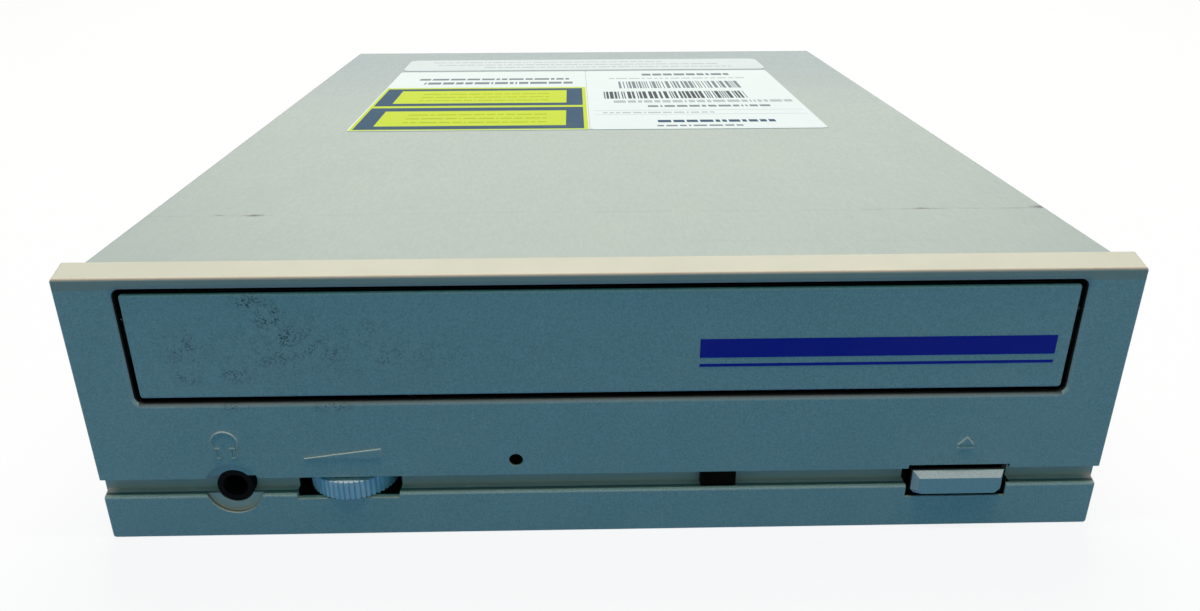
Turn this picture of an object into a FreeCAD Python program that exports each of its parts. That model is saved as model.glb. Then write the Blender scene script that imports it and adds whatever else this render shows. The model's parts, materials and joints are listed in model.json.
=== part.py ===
"""Half-height disc recorder with a motor-driven tray, for a 5.25 inch drive bay.

X runs to the right as seen from the front, Y from the front to the back and Z up, in millimetres.
The pieces are worked out with Y = 0 on the back of the bezel and Z = 0 under the case.
They are then shifted, so that the origin is the centre of the four mounting holes underneath.
"""
import FreeCAD, Part
import math
import os

V = FreeCAD.Vector
X_AXIS = V(1, 0, 0)
Y_AXIS = V(0, 1, 0)
Z_AXIS = V(0, 0, 1)

# Clearances
running_gap = 0.3          # between faces that slide past each other
shaft_clearance = 0.05     # round a shaft in its bore, on the radius
seat_gap = 0.1             # between pieces that only stand beside each other
backlash_coarse = 0.16     # play in the loader's teeth
backlash_fine = 0.10       # play in the sled's teeth

# Disc and tray
disc_radius = 60.0
disc_clearance = 0.8
disc_centre_y = 70.3
small_disc_radius = 40.0
tray_rim = 3.8
tray_height = 8.0
tray_skirt = 2.0
tray_front_y = -3.0
tray_travel = 134.0
tray_end_round = 2.5
recess_round = 0.8
scoop_radius = 9.0
scoop_inset = 3.0
tray_side_gap = 0.5
recess_depth = 3.0
small_recess_depth = 1.5
tray_floor = 1.8
slot_half = 22.0

# Sheet metal case
sheet = 0.8
bend_radius = 1.2
cover_gap = 0.2
case_depth = 189.0
rear_bay = 29.0            # room behind the frame for the connectors
rear_wall_gap = 0.1
pan_tab_height = 6.0
pan_tab_length = 14.0
dimple_radius = 3.8
dimple_rise = 1.0
screw_head_radius = 2.5
screw_radius = 1.2
screw_length = 5.0

# Moulded frame
boss_reach = 4.4
boss_half = 5.0
frame_wall = 2.5
frame_height = 33.7
frame_front_y = 1.0
hold_down_lip = 1.2
hold_down_length = 12.0
hold_down_reach = 2.2
ledge_thickness = 2.0
ledge_reach = 3.0
post_inset = 4.0
post_front_inset = 8.0
post_back_inset = 7.0
post_radius = 2.6
post_height = 7.6
guide_slot_low_z = 5.4
guide_thickness = 1.2
fence_height = 1.0
crossbar_depth = 5.4

# Mounting holes of the drive bay standard
mount_hole_radius = 1.5
mount_first_y = 47.4
mount_pitch_y = 79.25
mount_pitch_x = 139.7
side_hole_low_z = 10.0
side_hole_pitch_z = 11.84
mount_hole_depth = 4.0

# Disc clamp
bridge_sheet = 1.2
bridge_half_y = 24.0
clamper_radius = 14.0
clamper_flange = 1.2
clamper_flange_radius = 18.0
clamper_cap = 2.1
clamper_drop = 4.2
head_room = 1.2
yoke_radius = 9.0
yoke_thickness = 1.2

# Bezel
bezel_depth = 5.7
bezel_wall = 2.2
bezel_skirt = 1.9
face_over_x = 0.7
face_over_z = 0.25
back_over_x = 2.0
back_over_z = 0.5
edge_round = 0.5
face_edge_round = 0.35
door_gap_x = 0.65
door_gap_z = 0.65
door_over_x = 0.7
door_low_z = 23.3
door_height = 15.85
door_wall = 2.2
door_inset = 0.2
door_plate = 1.3
door_rim_inset = 1.0
door_edge_round = 0.4
opening_edge_round = 0.8
door_corner = 0.5
door_rim_wall = 1.2
groove_low_z = 7.1
groove_height = 2.9
groove_depth = 2.3
groove_backing = 1.8
backing_below = 2.2
backing_above = 1.3
groove_lip_round = 0.45
opening_corner = 1.0
opening_lip = 1.0          # the front of the opening, before it widens
opening_relief = 1.0

# Front controls
pinhole_x = -12.9
pinhole_z = 12.5
pinhole_radius = 1.03
jack_x = -54.5
jack_z = 8.2
jack_hole_radius = 2.75
jack_dish_radius = 4.25
jack_dish_depth = 0.8
jack_bore_radius = 1.8
jack_depth = 12.5
jack_recess = 0.9
wheel_x = -37.85
wheel_radius = 6.6
wheel_thickness = 2.85
wheel_low_z = 6.5
wheel_proud = 0.7
wheel_ribs = 52
wheel_rib_depth = 0.5
wheel_slot_half = 7.55
wheel_slot_lip = 1.0
wheel_slot_drop = 1.8
wheel_post_radius = 1.5
led_x = 17.0
led_width = 5.2
led_recess = 0.6
button_x = 52.65
button_width = 13.9
button_low_z = 5.65
button_height = 4.1
button_gap = 0.6
button_gap_above = 0.85
button_bevel = 0.9
button_step = 0.45
button_proud = 1.0
button_travel = 0.5
stem_width = 3.0
plunger_radius = 1.6

# Circuit boards
board_clear_z = 1.8
board_thickness = 1.6
front_board_y = 0.6
front_board_depth = 12.4
main_board_y = 30.0
board_side_gap = 0.6
board_post_radius = 2.6
ribbon_x = 30.0
ribbon_width = 16.0
ribbon_thickness = 0.3

# Flat chips: place from the middle and from the main board's front edge, width, depth, height
chips = (
    (-14.0, 36.0, 24.0, 24.0, 2.2),
    (26.0, 40.0, 20.0, 14.0, 1.8),
    (-40.0, 60.0, 14.0, 20.0, 1.8),
    (22.0, 74.0, 14.0, 14.0, 1.6),
    (-10.0, 82.0, 18.0, 11.0, 2.0),
    (42.0, 100.0, 12.0, 18.0, 2.0),
)
# Round capacitors: place from the middle and from the rear of the case, radius, height
capacitors = (
    (60.5, 20.0, 3.2, 9.0),
    (30.0, 21.0, 3.2, 9.0),
    (46.0, 19.0, 2.5, 7.0),
    (-44.0, 21.0, 4.0, 10.0),
)

# Rear connectors
ide_x = -11.0
ide_width = 58.0
ide_height = 9.2
ide_depth = 12.5
ide_wall = 1.1
ide_cavity = 8.5
ide_pin_reach = 6.3
ide_columns = 20
ide_key_half = 2.3
pin_pitch = 2.54
pin_half = 0.32
power_x = -55.0
power_width = 22.0
power_height = 10.4
power_depth = 14.0
power_wall = 1.2
power_cavity = 10.5
power_chamfer = 2.4
power_pin_pitch = 5.08
power_pin_radius = 1.05
power_pin_inset = 3.4
power_tip = 0.8
jumper_x = 26.5
jumper_depth = 9.0
jumper_strip = 2.6
jumper_cap_half = 1.2
audio_x = 41.5
digital_x = 55.0
small_height = 6.4
small_depth = 11.0
small_wall = 0.9
small_cavity = 7.0
small_latch_half = 1.4

# Loader: tray rack, drive gear, pulley gear, belt and motor
loader_y = 17.0
drive_gear_x = -42.5
rack_module = 1.0
rack_pinion_teeth = 15
rack_teeth = 46
rack_back = 3.2
rack_low_z = 23.55
train_module = 0.8
drive_teeth = 36
pulley_teeth = 12
gear_face = 3.0
pinion_top_z = 26.2
axle_radius = 1.5
standoff_radius = 3.5
deck_top_z = 15.5
deck_thickness = 1.8
deck_length = 30.0
pulley_low_z = 16.2
pulley_height = 2.7
pulley_groove_radius = 11.0
belt_ratio = 4.0
groove_lip = 1.0
belt_width = 1.5
belt_thickness = 1.2
motor_x = 6.0
motor_radius = 10.5
motor_height = 10.4
motor_boss_radius = 3.0
motor_shaft_radius = 1.0

# Lift: cam slider and tilting frame
cam_fall = 8.235           # the pins sink this far, which tilts the frame by 4 degrees
hinge_inset = 8.0
hinge_z = 16.5
trunnion_radius = 2.0
trunnion_length = 4.5
ear_thickness = 3.5
ear_radius = 4.0
lift_rail = 5.5
lift_low_z = 14.0
lift_height = 5.5
lift_front_y = 36.0
lift_front_bar = 5.0
lift_rear_bar = 6.0
lift_wall = 1.4
cam_travel = 20.0
cam_y = 33.0
cam_wall = 2.0
cam_low_z = 6.9
cam_top_z = 21.5
cam_pin_radius = 1.5
cam_pin_z = 17.8
cam_pins_x = (-20.0, 18.0)
cam_slot_clearance = 0.35
cam_end = 6.0
cam_rib_rise = 1.4
cam_rib_height = 1.2
cam_rib_depth = 0.9
wedge_tip = 3.9
wedge_width = 8.0
wedge_depth = 4.4
wedge_below = 1.9
wedge_above = 0.8

# Traverse: plate, spindle, rods, pickup and sled drive
damper_height = 3.1
damper_radius = 3.6
damper_waist = 2.6
damper_screw_radius = 1.0
damper_screw_depth = 3.4
damper_screw_head = 2.6
damper_inset_y = 10.0
plate_sheet = 1.2
plate_lift_gap = 2.0
plate_front_y = 42.0
plate_hinge_gap = 4.0
plate_flange = 3.0
opening_side = 3.5
opening_front_y = 85.6
opening_back_inset = 6.0
seat_above_floor = 1.3
turntable_radius = 15.0
turntable_thickness = 2.4
cone_radius = 7.4
cone_height = 2.2
rotor_radius = 12.5
rotor_height = 6.3
spindle_shaft_radius = 1.5
spindle_base_radius = 13.5
rod_reach = 4.0
rod_z = 23.6
rod_radius = 1.5
sub_rod_radius = 1.2
rod_front_y = 81.5
rod_back_inset = 1.0
clip_length = 4.0
clip_half = 3.0
bearing_half = 2.6
bearing_length = 5.0
bearing_inset = 1.5
fork_reach = 2.4
lens_inner_radius = 24.0
pickup_travel = 34.0
pickup_length = 21.0
pickup_half = 21.0
pickup_low_z = 17.0
pickup_top_z = 26.2
lens_radius = 2.4
lens_top_z = 29.4
lens_dome = 0.5
lens_seat_depth = 1.2
lens_travel = 0.6
lens_holder_half = 7.6
lens_well_back = 8.4
wire_radius = 0.2
wire_low = 1.8
wire_pitch = 2.0
wire_reach = 2.0
wire_root = 0.6
suspension_side = 0.9
suspension_depth = 2.6
suspension_rise = 0.8
lens_holder_depth = 4.4
lens_collar_radius = 4.0
rack_reach = 9.0
sled_side = 12.5
sled_y = 100.0
sled_rack_module = 0.6
sled_pinion_teeth = 12
sled_module = 0.5
sled_teeth = 32
sled_motor_teeth = 10
sled_face = 1.2
sled_axle_radius = 1.0
sled_motor_radius = 7.0
sled_motor_height = 10.5
sled_shaft_radius = 0.75

# Worked out from the sizes above
origin_y = mount_first_y + mount_pitch_y / 2
recess_radius = disc_radius + disc_clearance
tray_half = recess_radius + tray_rim
frame_inner = tray_half + tray_side_gap
frame_outer = frame_inner + frame_wall
cover_inner = frame_outer + boss_reach + cover_gap
case_half = cover_inner + sheet
frame_top_z = sheet + frame_height
frame_back_y = case_depth - rear_bay
tray_back_y = frame_back_y
tray_top_z = frame_top_z - hold_down_lip - running_gap
tray_low_z = tray_top_z - tray_height
disc_floor_z = tray_top_z - recess_depth
tray_under_z = disc_floor_z - tray_floor
small_floor_z = disc_floor_z - small_recess_depth
small_under_z = small_floor_z - tray_floor
ledge_top_z = tray_low_z - running_gap
bridge_top_z = frame_top_z + bridge_sheet
flange_low_z = bridge_top_z + running_gap
cap_top_z = flange_low_z + clamper_flange + clamper_cap
cover_under_z = cap_top_z + head_room
case_height = cover_under_z + sheet
face_y = -bezel_depth
face_half = case_half + face_over_x
face_low_z = -face_over_z
face_top_z = case_height + face_over_z
back_half = case_half + back_over_x
back_low_z = -back_over_z
back_top_z = case_height + back_over_z
door_half = tray_half + door_over_x
door_top_z = door_low_z + door_height
opening_half_x = door_half + door_gap_x
opening_low_z = door_low_z - door_gap_z
opening_top_z = door_top_z + door_gap_z
groove_back_y = face_y + groove_depth
backing_y = groove_back_y + groove_backing
wheel_y = face_y - wheel_proud + wheel_radius
board_low_z = sheet + board_clear_z
board_top_z = board_low_z + board_thickness
board_half = frame_inner - board_side_gap
deck_low_z = deck_top_z - deck_thickness
deck_back_y = frame_front_y + running_gap * 2 + deck_length
rack_pitch_x = drive_gear_x - rack_module * rack_pinion_teeth / 2
loader_distance = train_module * (drive_teeth + pulley_teeth) / 2
pulley_gear_x = drive_gear_x + loader_distance
drive_gear_z = pulley_low_z + pulley_height + running_gap + 0.4
motor_groove_radius = pulley_groove_radius / belt_ratio
hinge_y = frame_back_y - hinge_inset
plate_back_y = hinge_y - plate_hinge_gap
opening_back_y = plate_back_y - opening_back_inset
rod_back_y = plate_back_y - rod_back_inset
rod_x = pickup_half + rod_reach
sled_rack_x = -(rod_x + rack_reach)
opening_half = rod_x + opening_side
plate_half = rod_x + rack_reach + sled_side
lift_half = plate_half + plate_lift_gap + lift_rail
lift_top_z = lift_low_z + lift_height
plate_low_z = lift_top_z + (damper_height - plate_sheet) / 2
plate_top_z = plate_low_z + plate_sheet
seat_z = disc_floor_z + seat_above_floor
rotor_top_z = seat_z - turntable_thickness - running_gap
rotor_low_z = rotor_top_z - rotor_height
lens_y = disc_centre_y + lens_inner_radius
pickup_front_y = lens_y - 7.8
sled_gear_x = sled_rack_x - sled_rack_module * sled_pinion_teeth / 2
sled_gear_z = plate_top_z + running_gap
sled_pinion_z = sled_gear_z + sled_face + running_gap
sled_motor_y = sled_y + sled_module * (sled_teeth + sled_motor_teeth) / 2


# Shapes that every sub-part uses

def box(x0, x1, y0, y1, z0, z1):
    """Block between two corners."""
    return Part.makeBox(x1 - x0, y1 - y0, z1 - z0, V(x0, y0, z0))


def cylinder(radius, x, y, z0, z1):
    """Upright cylinder."""
    return Part.makeCylinder(radius, z1 - z0, V(x, y, z0), Z_AXIS)


def cylinder_y(radius, x, z, y0, y1):
    """Cylinder from front to back."""
    return Part.makeCylinder(radius, y1 - y0, V(x, y0, z), Y_AXIS)


def cylinder_x(radius, y, z, x0, x1):
    """Cylinder from left to right."""
    return Part.makeCylinder(radius, x1 - x0, V(x0, y, z), X_AXIS)


def tube(outer, inner, x, y, z0, z1):
    """Upright tube."""
    return cylinder(outer, x, y, z0, z1).cut(cylinder(inner, x, y, z0, z1))


def prism(points, direction):
    """Closed flat outline carried along a direction."""
    wire = Part.makePolygon(points + points[:1])
    return Part.Face(wire).extrude(direction)


def plan(points, z0, z1):
    """Outline given as (x, y), carried from z0 up to z1."""
    return prism([V(x, y, z0) for x, y in points], V(0, 0, z1 - z0))


def turned(profile, x, y):
    """Solid of revolution about an upright axis, from (radius, z) points."""
    points = [V(x + r, y, z) for r, z in profile]
    wire = Part.makePolygon(points + points[:1])
    return Part.Face(wire).revolve(V(x, y, 0), Z_AXIS, 360)


def rounded_outline(half_x, z0, z1, y, radius):
    """Upright rectangle with rounded corners, as a wire in the plane of a given Y."""
    corners = [(half_x, z0), (half_x, z1), (-half_x, z1), (-half_x, z0)]
    inward = [(-1, 1), (-1, -1), (1, -1), (1, 1)]
    start = [(0, 1), (-1, 0), (0, -1), (1, 0)]
    edges = []
    previous = None
    first = None
    for n, (corner, turn, along) in enumerate(zip(corners, inward, start)):
        back = start[n - 1]
        enter = V(corner[0] - back[0] * radius, y, corner[1] - back[1] * radius)
        leave = V(corner[0] + along[0] * radius, y, corner[1] + along[1] * radius)
        shift = radius * (1 - math.sqrt(0.5))
        middle = V(corner[0] + turn[0] * shift, y, corner[1] + turn[1] * shift)
        if previous is not None:
            edges.append(Part.makeLine(previous, enter))
        else:
            first = enter
        edges.append(Part.Arc(enter, middle, leave).toShape())
        previous = leave
    edges.append(Part.makeLine(previous, first))
    return Part.Wire(edges)


def both_sides(shape):
    """The shape and its mirror image across the middle plane."""
    return [shape, shape.mirror(V(0, 0, 0), X_AXIS)]


def joined(shapes):
    """All shapes fused into one clean solid."""
    whole = shapes[0].fuse(shapes[1:]) if len(shapes) > 1 else shapes[0]
    return whole.removeSplitter()


def without(shape, cutters):
    """The shape with every cutter taken out of it."""
    return shape.cut(cutters).removeSplitter()


def rounded(shape, radius, wanted):
    """Rounds the edges that the test picks out."""
    edges = [e for e in shape.Edges if wanted(e)]
    return shape.makeFillet(radius, edges)


def near(value, target):
    """Tells whether two lengths agree within a hundredth of a millimetre."""
    return abs(value - target) < 0.01


# Teeth

def gear_outline(teeth, module, backlash, x, y, first_angle):
    """Closed outline of a spur gear with 20 degree flanks, one tooth centred on first_angle."""
    pressure = math.radians(20)
    pitch = teeth * module / 2
    base = pitch * math.cos(pressure)
    tip = pitch + 0.92 * module
    root = pitch - 1.2 * module
    half = (math.pi * module / 2 - backlash) / 2 / pitch
    spread = half + math.tan(pressure) - pressure
    flank = []
    low = max(base, root)
    for step in range(3):
        radius = low + (tip - low) * step / 2
        lean = math.acos(min(1.0, base / radius))
        flank.append((radius, spread - (math.tan(lean) - lean)))
    if base > root:
        flank.insert(0, (root, flank[0][1]))
    points = []
    for tooth in range(teeth):
        middle = first_angle + 2 * math.pi * tooth / teeth
        for radius, angle in flank:
            turn = middle - angle
            points.append((x + radius * math.cos(turn), y + radius * math.sin(turn)))
        for radius, angle in reversed(flank):
            turn = middle + angle
            points.append((x + radius * math.cos(turn), y + radius * math.sin(turn)))
    return points


def spur(teeth, module, backlash, x, y, z0, z1, first_angle):
    """Spur gear without its bore."""
    return plan(gear_outline(teeth, module, backlash, x, y, first_angle), z0, z1)


def rack_outline(pitch_x, gap_y, before, after, module, backlash, side, back):
    """Rack along Y with its teeth towards side (+1 or -1) and a gap centred on gap_y."""
    pitch = math.pi * module
    slope = math.tan(math.radians(20))
    tip = 0.92 * module
    root = 1.2 * module
    half = (pitch / 2 - backlash) / 2
    back_x = pitch_x - side * (root + back)
    points = [(back_x, gap_y - before * pitch)]
    for tooth in range(-before, after):
        middle = gap_y + (tooth + 0.5) * pitch
        points.append((pitch_x - side * root, middle - half - root * slope))
        points.append((pitch_x + side * tip, middle - half + tip * slope))
        points.append((pitch_x + side * tip, middle + half - tip * slope))
        points.append((pitch_x - side * root, middle + half + root * slope))
    points.append((back_x, gap_y + after * pitch))
    return points


# Case

def top_cover():
    """Folded steel cover: roof and two sides, bent with a round shoulder."""
    outer = bent_outline(case_half, case_height, bend_radius)
    inner = bent_outline(cover_inner, cover_under_z, bend_radius - sheet)
    skin = outer.extrude(V(0, case_depth - cover_gap, 0)).cut(inner.extrude(V(0, case_depth, 0)))
    return without(skin, side_holes(cover_inner - 1, case_half + 1, mount_hole_radius))


def bent_outline(half, top, radius):
    """Upright face from the floor to the roof whose two upper corners are round."""
    slack = radius * (1 - math.sqrt(0.5))
    y = cover_gap
    left_low = V(-half, y, 0)
    left_high = V(-half, y, top - radius)
    left_bend = V(-half + slack, y, top - slack)
    left_roof = V(-half + radius, y, top)
    right_roof = V(half - radius, y, top)
    right_bend = V(half - slack, y, top - slack)
    right_high = V(half, y, top - radius)
    right_low = V(half, y, 0)
    edges = [
        Part.makeLine(left_low, left_high),
        Part.Arc(left_high, left_bend, left_roof).toShape(),
        Part.makeLine(left_roof, right_roof),
        Part.Arc(right_roof, right_bend, right_high).toShape(),
        Part.makeLine(right_high, right_low),
        Part.makeLine(right_low, left_low),
    ]
    return Part.Face(Part.Wire(edges))


def side_holes(x0, x1, radius):
    """The four screw holes in each side, as cutters between two distances from the middle."""
    cutters = []
    for y in mount_rows():
        for z in (side_hole_low_z, side_hole_low_z + side_hole_pitch_z):
            cutters += both_sides(cylinder_x(radius, y, z, x0, x1))
    return cutters


def bottom_holes(z0, z1, radius):
    """The four screw holes underneath, as cutters."""
    cutters = []
    for y in mount_rows():
        cutters += both_sides(cylinder(radius, mount_pitch_x / 2, y, z0, z1))
    return cutters


def mount_rows():
    """The two distances from the bezel at which the mounting holes stand."""
    return (mount_first_y, mount_first_y + mount_pitch_y)


def post_places():
    """Where the case screws hold the frame, mirrored left and right by the caller."""
    x = frame_inner - post_inset
    return [(x, frame_front_y + post_front_inset), (x, frame_back_y - post_back_inset)]


def bottom_pan():
    """Steel floor with turned-up side tabs, board standoffs, screw dimples and the rear wall."""
    edge = cover_inner - cover_gap
    floor_plate = box(-edge, edge, cover_gap, case_depth, 0, sheet)
    rear_wall = box(-edge, edge, case_depth - sheet, case_depth, 0, cover_under_z - rear_wall_gap)
    pieces = [floor_plate, rear_wall]
    for y0 in (frame_front_y + 13.0, mount_first_y + 18.6, mount_first_y + 50.6, frame_back_y - 10.0):
        tab = box(edge - sheet, edge, y0, y0 + pan_tab_length, 0, pan_tab_height)
        pieces += both_sides(tab)
    for x, y in board_posts():
        pieces.append(cylinder(board_post_radius, x, y, sheet, board_low_z))
    for x, y in post_places():
        pieces += both_sides(cylinder(dimple_radius, x, y, 0, sheet + dimple_rise))
    pan = joined(pieces)
    cutters = bottom_holes(-1, sheet + 1, mount_hole_radius)
    for x, y in post_places():
        cutters += both_sides(cylinder(screw_head_radius + 0.3, x, y, -1, dimple_rise))
        cutters += both_sides(cylinder(screw_radius + 0.2, x, y, 0, sheet + dimple_rise + 1))
    cutters += rear_openings()
    for n in range(9):
        cutters.append(rear_slot(18.0 + 5.0 * n))
    return without(pan, cutters)


def rear_slot(x):
    """Upright ventilation slot in the rear wall, with round ends."""
    y0 = case_depth - sheet - 1
    y1 = case_depth + 1
    slot = box(x - 1.2, x + 1.2, y0, y1, 21.0, 31.0)
    return slot.fuse([cylinder_y(1.2, x, 21.0, y0, y1), cylinder_y(1.2, x, 31.0, y0, y1)])


def case_screws():
    """Four countersunk screws that hold the floor to the frame."""
    tip = dimple_rise + screw_length
    profile = [
        (0, seat_gap),
        (screw_head_radius, seat_gap),
        (screw_head_radius, dimple_rise - 0.15),
        (screw_radius, dimple_rise),
        (screw_radius, tip),
        (0, tip),
    ]
    screws = []
    for x, y in post_places():
        screws += both_sides(turned(profile, x, y))
    return Part.Compound(screws)


# Main frame

def main_frame():
    """Moulded frame: side walls with tray rails, loader deck, cam guide, rear crossbar and screw bosses."""
    back_y = frame_back_y
    pieces = []
    pieces += both_sides(box(frame_inner, frame_outer, frame_front_y, back_y, sheet, frame_top_z))
    rail_low_z = ledge_top_z - ledge_thickness
    rail = box(frame_inner - ledge_reach, frame_inner, frame_front_y + 1, back_y, rail_low_z, ledge_top_z)
    pieces += both_sides(rail)
    for y0 in (frame_front_y + 7.0, back_y - 48.0, back_y - 20.0):
        lip = box(frame_inner - hold_down_reach, frame_inner, y0, y0 + hold_down_length,
                  tray_top_z + running_gap, frame_top_z)
        pieces += both_sides(lip)
    pieces.append(box(-frame_inner, frame_inner, frame_front_y + 1, deck_back_y, deck_low_z, deck_top_z))
    pieces.append(box(-frame_inner, frame_inner, cam_y - 1.5, cam_y + cam_wall + running_gap,
                      guide_slot_low_z, guide_slot_low_z + guide_thickness))
    pieces.append(box(-frame_inner, frame_inner, cam_y - 1.5, cam_y - running_gap,
                      guide_slot_low_z, guide_slot_low_z + guide_thickness + fence_height))
    pieces.append(box(-frame_inner, frame_inner, back_y - crossbar_depth, back_y,
                      board_top_z + 2.4, rack_low_z - 2 * running_gap))
    ear_x = lift_half + 1.0
    ear = box(ear_x, ear_x + ear_thickness, hinge_y, back_y - crossbar_depth, hinge_z - 4.5, hinge_z + 3.5)
    ear_round = cylinder_x(ear_radius, hinge_y, hinge_z, ear_x, ear_x + ear_thickness)
    pieces += both_sides(ear)
    pieces += both_sides(ear_round)
    post_low_z = sheet + dimple_rise
    for x, y in post_places():
        pieces += both_sides(cylinder(post_radius, x, y, post_low_z, post_low_z + post_height))
        pieces += both_sides(box(x, frame_inner, y - 1.2, y + 1.2, post_low_z, post_low_z + post_height))
    boss_top_z = side_hole_low_z + side_hole_pitch_z + 4.5
    for y in mount_rows():
        boss = box(frame_outer, frame_outer + boss_reach, y - boss_half, y + boss_half, sheet, boss_top_z)
        pieces += both_sides(boss)
    for y in (mount_first_y + 42.6, back_y - 15.0):
        rib = box(frame_outer, frame_outer + boss_reach, y - 1, y + 1, sheet, frame_top_z - 3)
        pieces += both_sides(rib)
    for x, top in ((drive_gear_x, drive_gear_z - running_gap), (pulley_gear_x, pulley_low_z - running_gap)):
        pieces.append(cylinder(standoff_radius, x, loader_y, deck_top_z, top))
    frame = joined(pieces)
    boss_x = frame_outer + boss_reach
    cutters = side_holes(boss_x - mount_hole_depth, boss_x + 1, mount_hole_radius)
    cutters += bottom_holes(sheet - 1, sheet + mount_hole_depth, mount_hole_radius)
    trunnion_bore = trunnion_radius + shaft_clearance
    cutters += both_sides(cylinder_x(trunnion_bore, hinge_y, hinge_z, ear_x - 1, ear_x + 9))
    for x, y in post_places():
        cutters += both_sides(cylinder(screw_radius, x, y, sheet, dimple_rise + screw_length + 0.5))
    cutters.append(cylinder(axle_radius, drive_gear_x, loader_y, deck_low_z - 1, drive_gear_z))
    cutters.append(cylinder(axle_radius, pulley_gear_x, loader_y, deck_low_z - 1, pulley_low_z))
    cutters.append(cylinder(motor_boss_radius + seat_gap, motor_x, loader_y, deck_low_z - 1, deck_top_z + 1))
    cutters.append(box(motor_x + motor_radius, frame_inner - 8, loader_y - 10, loader_y + 8,
                       deck_low_z - 1, deck_top_z + 1))
    return without(frame, cutters)


# Bezel

def bezel_blank():
    """Drafted block of the bezel: the face is smaller than the back."""
    face = rounded_outline(face_half, face_low_z, face_top_z, face_y, edge_round)
    back = rounded_outline(back_half, back_low_z, back_top_z, 0, edge_round)
    blank = Part.makeLoft([face, back], True, True)
    return rounded(blank, face_edge_round, is_on_face)


def opening_cutter():
    """Straight tray opening with round corners."""
    outline = rounded_outline(opening_half_x, opening_low_z, opening_top_z, face_y - 1, opening_corner)
    return Part.Face(outline).extrude(V(0, bezel_depth + 2, 0))


def opening_relief_cutter():
    """Wider space behind the lip of the tray opening, at its sides and below."""
    wide = opening_half_x + opening_relief
    return box(-wide, wide, face_y + opening_lip, 1, opening_low_z - opening_relief, opening_top_z)


def is_on_face(edge):
    """Tells whether an edge lies in the plane of the bezel's face."""
    return near(edge.BoundBox.YMin, face_y) and near(edge.BoundBox.YMax, face_y)


def is_opening_rim(edge):
    """Tells whether an edge of the face belongs to the tray opening."""
    limits = edge.BoundBox
    inside = limits.ZMin > opening_low_z - 0.1 and limits.ZMax < opening_top_z + 0.1
    return is_on_face(edge) and inside and limits.XMax < opening_half_x + 0.1


def is_groove_lip(edge):
    """Tells whether an edge is the long lower lip of the groove."""
    limits = edge.BoundBox
    level = near(limits.ZMin, groove_low_z) and near(limits.ZMax, groove_low_z)
    return is_on_face(edge) and level and edge.Length > case_half


def front_bezel():
    """Moulded bezel: drafted shell with the tray opening, the long groove and the control cut-outs."""
    blank = bezel_blank()
    hollow = box(-case_half + bezel_skirt, case_half - bezel_skirt, face_y + bezel_wall, 1,
                 bezel_skirt, case_height - bezel_skirt)
    backing = box(-case_half + bezel_skirt, case_half - bezel_skirt, face_y + bezel_wall, backing_y,
                  groove_low_z - backing_below, groove_low_z + groove_height + backing_above)
    jack_pad = cylinder_y(jack_dish_radius + 1.2, jack_x, jack_z, face_y + bezel_wall, backing_y)
    clips = []
    clip_x = frame_outer + 2 * running_gap
    for z in (14.0, 30.0):
        clips += both_sides(box(clip_x, cover_inner - cover_gap, -2.0, 4.5, z - 3, z + 3))
    shell = joined([blank.cut(hollow), backing, jack_pad] + clips)
    groove_top_z = groove_low_z + groove_height
    groove = box(-back_half - 1, back_half + 1, face_y - 1, groove_back_y, groove_low_z, groove_top_z)
    shell = shell.cut(groove).removeSplitter()
    shell = rounded(shell, groove_lip_round, is_groove_lip)
    shell = rounded(shell.cut(opening_cutter()).removeSplitter(), opening_edge_round, is_opening_rim)
    cutters = [opening_relief_cutter()]
    cutters.append(cylinder_y(pinhole_radius, pinhole_x, pinhole_z, face_y - 1, backing_y + 1))
    cutters.append(cylinder_y(jack_dish_radius, jack_x, jack_z, face_y - 1, face_y + jack_dish_depth))
    cutters.append(cylinder_y(jack_hole_radius, jack_x, jack_z, face_y - 1, backing_y + 1))
    slot_x0 = wheel_x - wheel_slot_half
    slot_x1 = wheel_x + wheel_slot_half
    slot_low = wheel_low_z - running_gap
    cutters.append(box(slot_x0, slot_x1, face_y - 1, 1, slot_low, groove_top_z))
    cutters.append(box(slot_x0, slot_x1, face_y + wheel_slot_lip, 1,
                       slot_low - wheel_slot_drop, groove_top_z))
    cutters.append(box(led_x - led_width / 2, led_x + led_width / 2, face_y, backing_y + 1,
                       groove_low_z, groove_top_z))
    cutters.append(box(button_x - button_width / 2 - button_gap, button_x + button_width / 2 + button_gap,
                       face_y - 1, backing_y + 1,
                       button_low_z - button_gap, button_low_z + button_height + button_gap_above))
    return without(shell, cutters)


def tray_front():
    """Door on the tray: a plate with a rounded edge, and a smaller rim and ribs behind it."""
    y0 = face_y + door_inset
    outline = rounded_outline(door_half, door_low_z, door_top_z, y0, door_corner)
    plate = Part.Face(outline).extrude(V(0, door_plate, 0))
    plate = rounded(plate, door_edge_round, lambda e: near(e.BoundBox.YMin, y0) and near(e.BoundBox.YMax, y0))
    inset = door_rim_inset
    rim_outline = rounded_outline(door_half - inset, door_low_z + inset, door_top_z - inset,
                                  y0 + door_plate, door_corner)
    rim = Part.Face(rim_outline).extrude(V(0, tray_front_y - y0 - door_plate, 0))
    inner_x = door_half - inset - door_rim_wall
    inner_top = door_top_z - inset - door_rim_wall
    hollow = box(-inner_x, inner_x, y0 + door_wall, 0, tray_top_z + 1.2, inner_top)
    ribs = []
    for x in (-48.0, -24.0, 0.0, 24.0, 48.0):
        ribs.append(box(x - 0.5, x + 0.5, y0 + door_wall, tray_front_y, tray_top_z + 1, inner_top))
    return joined([joined([plate, rim]).cut(hollow)] + ribs)


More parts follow.
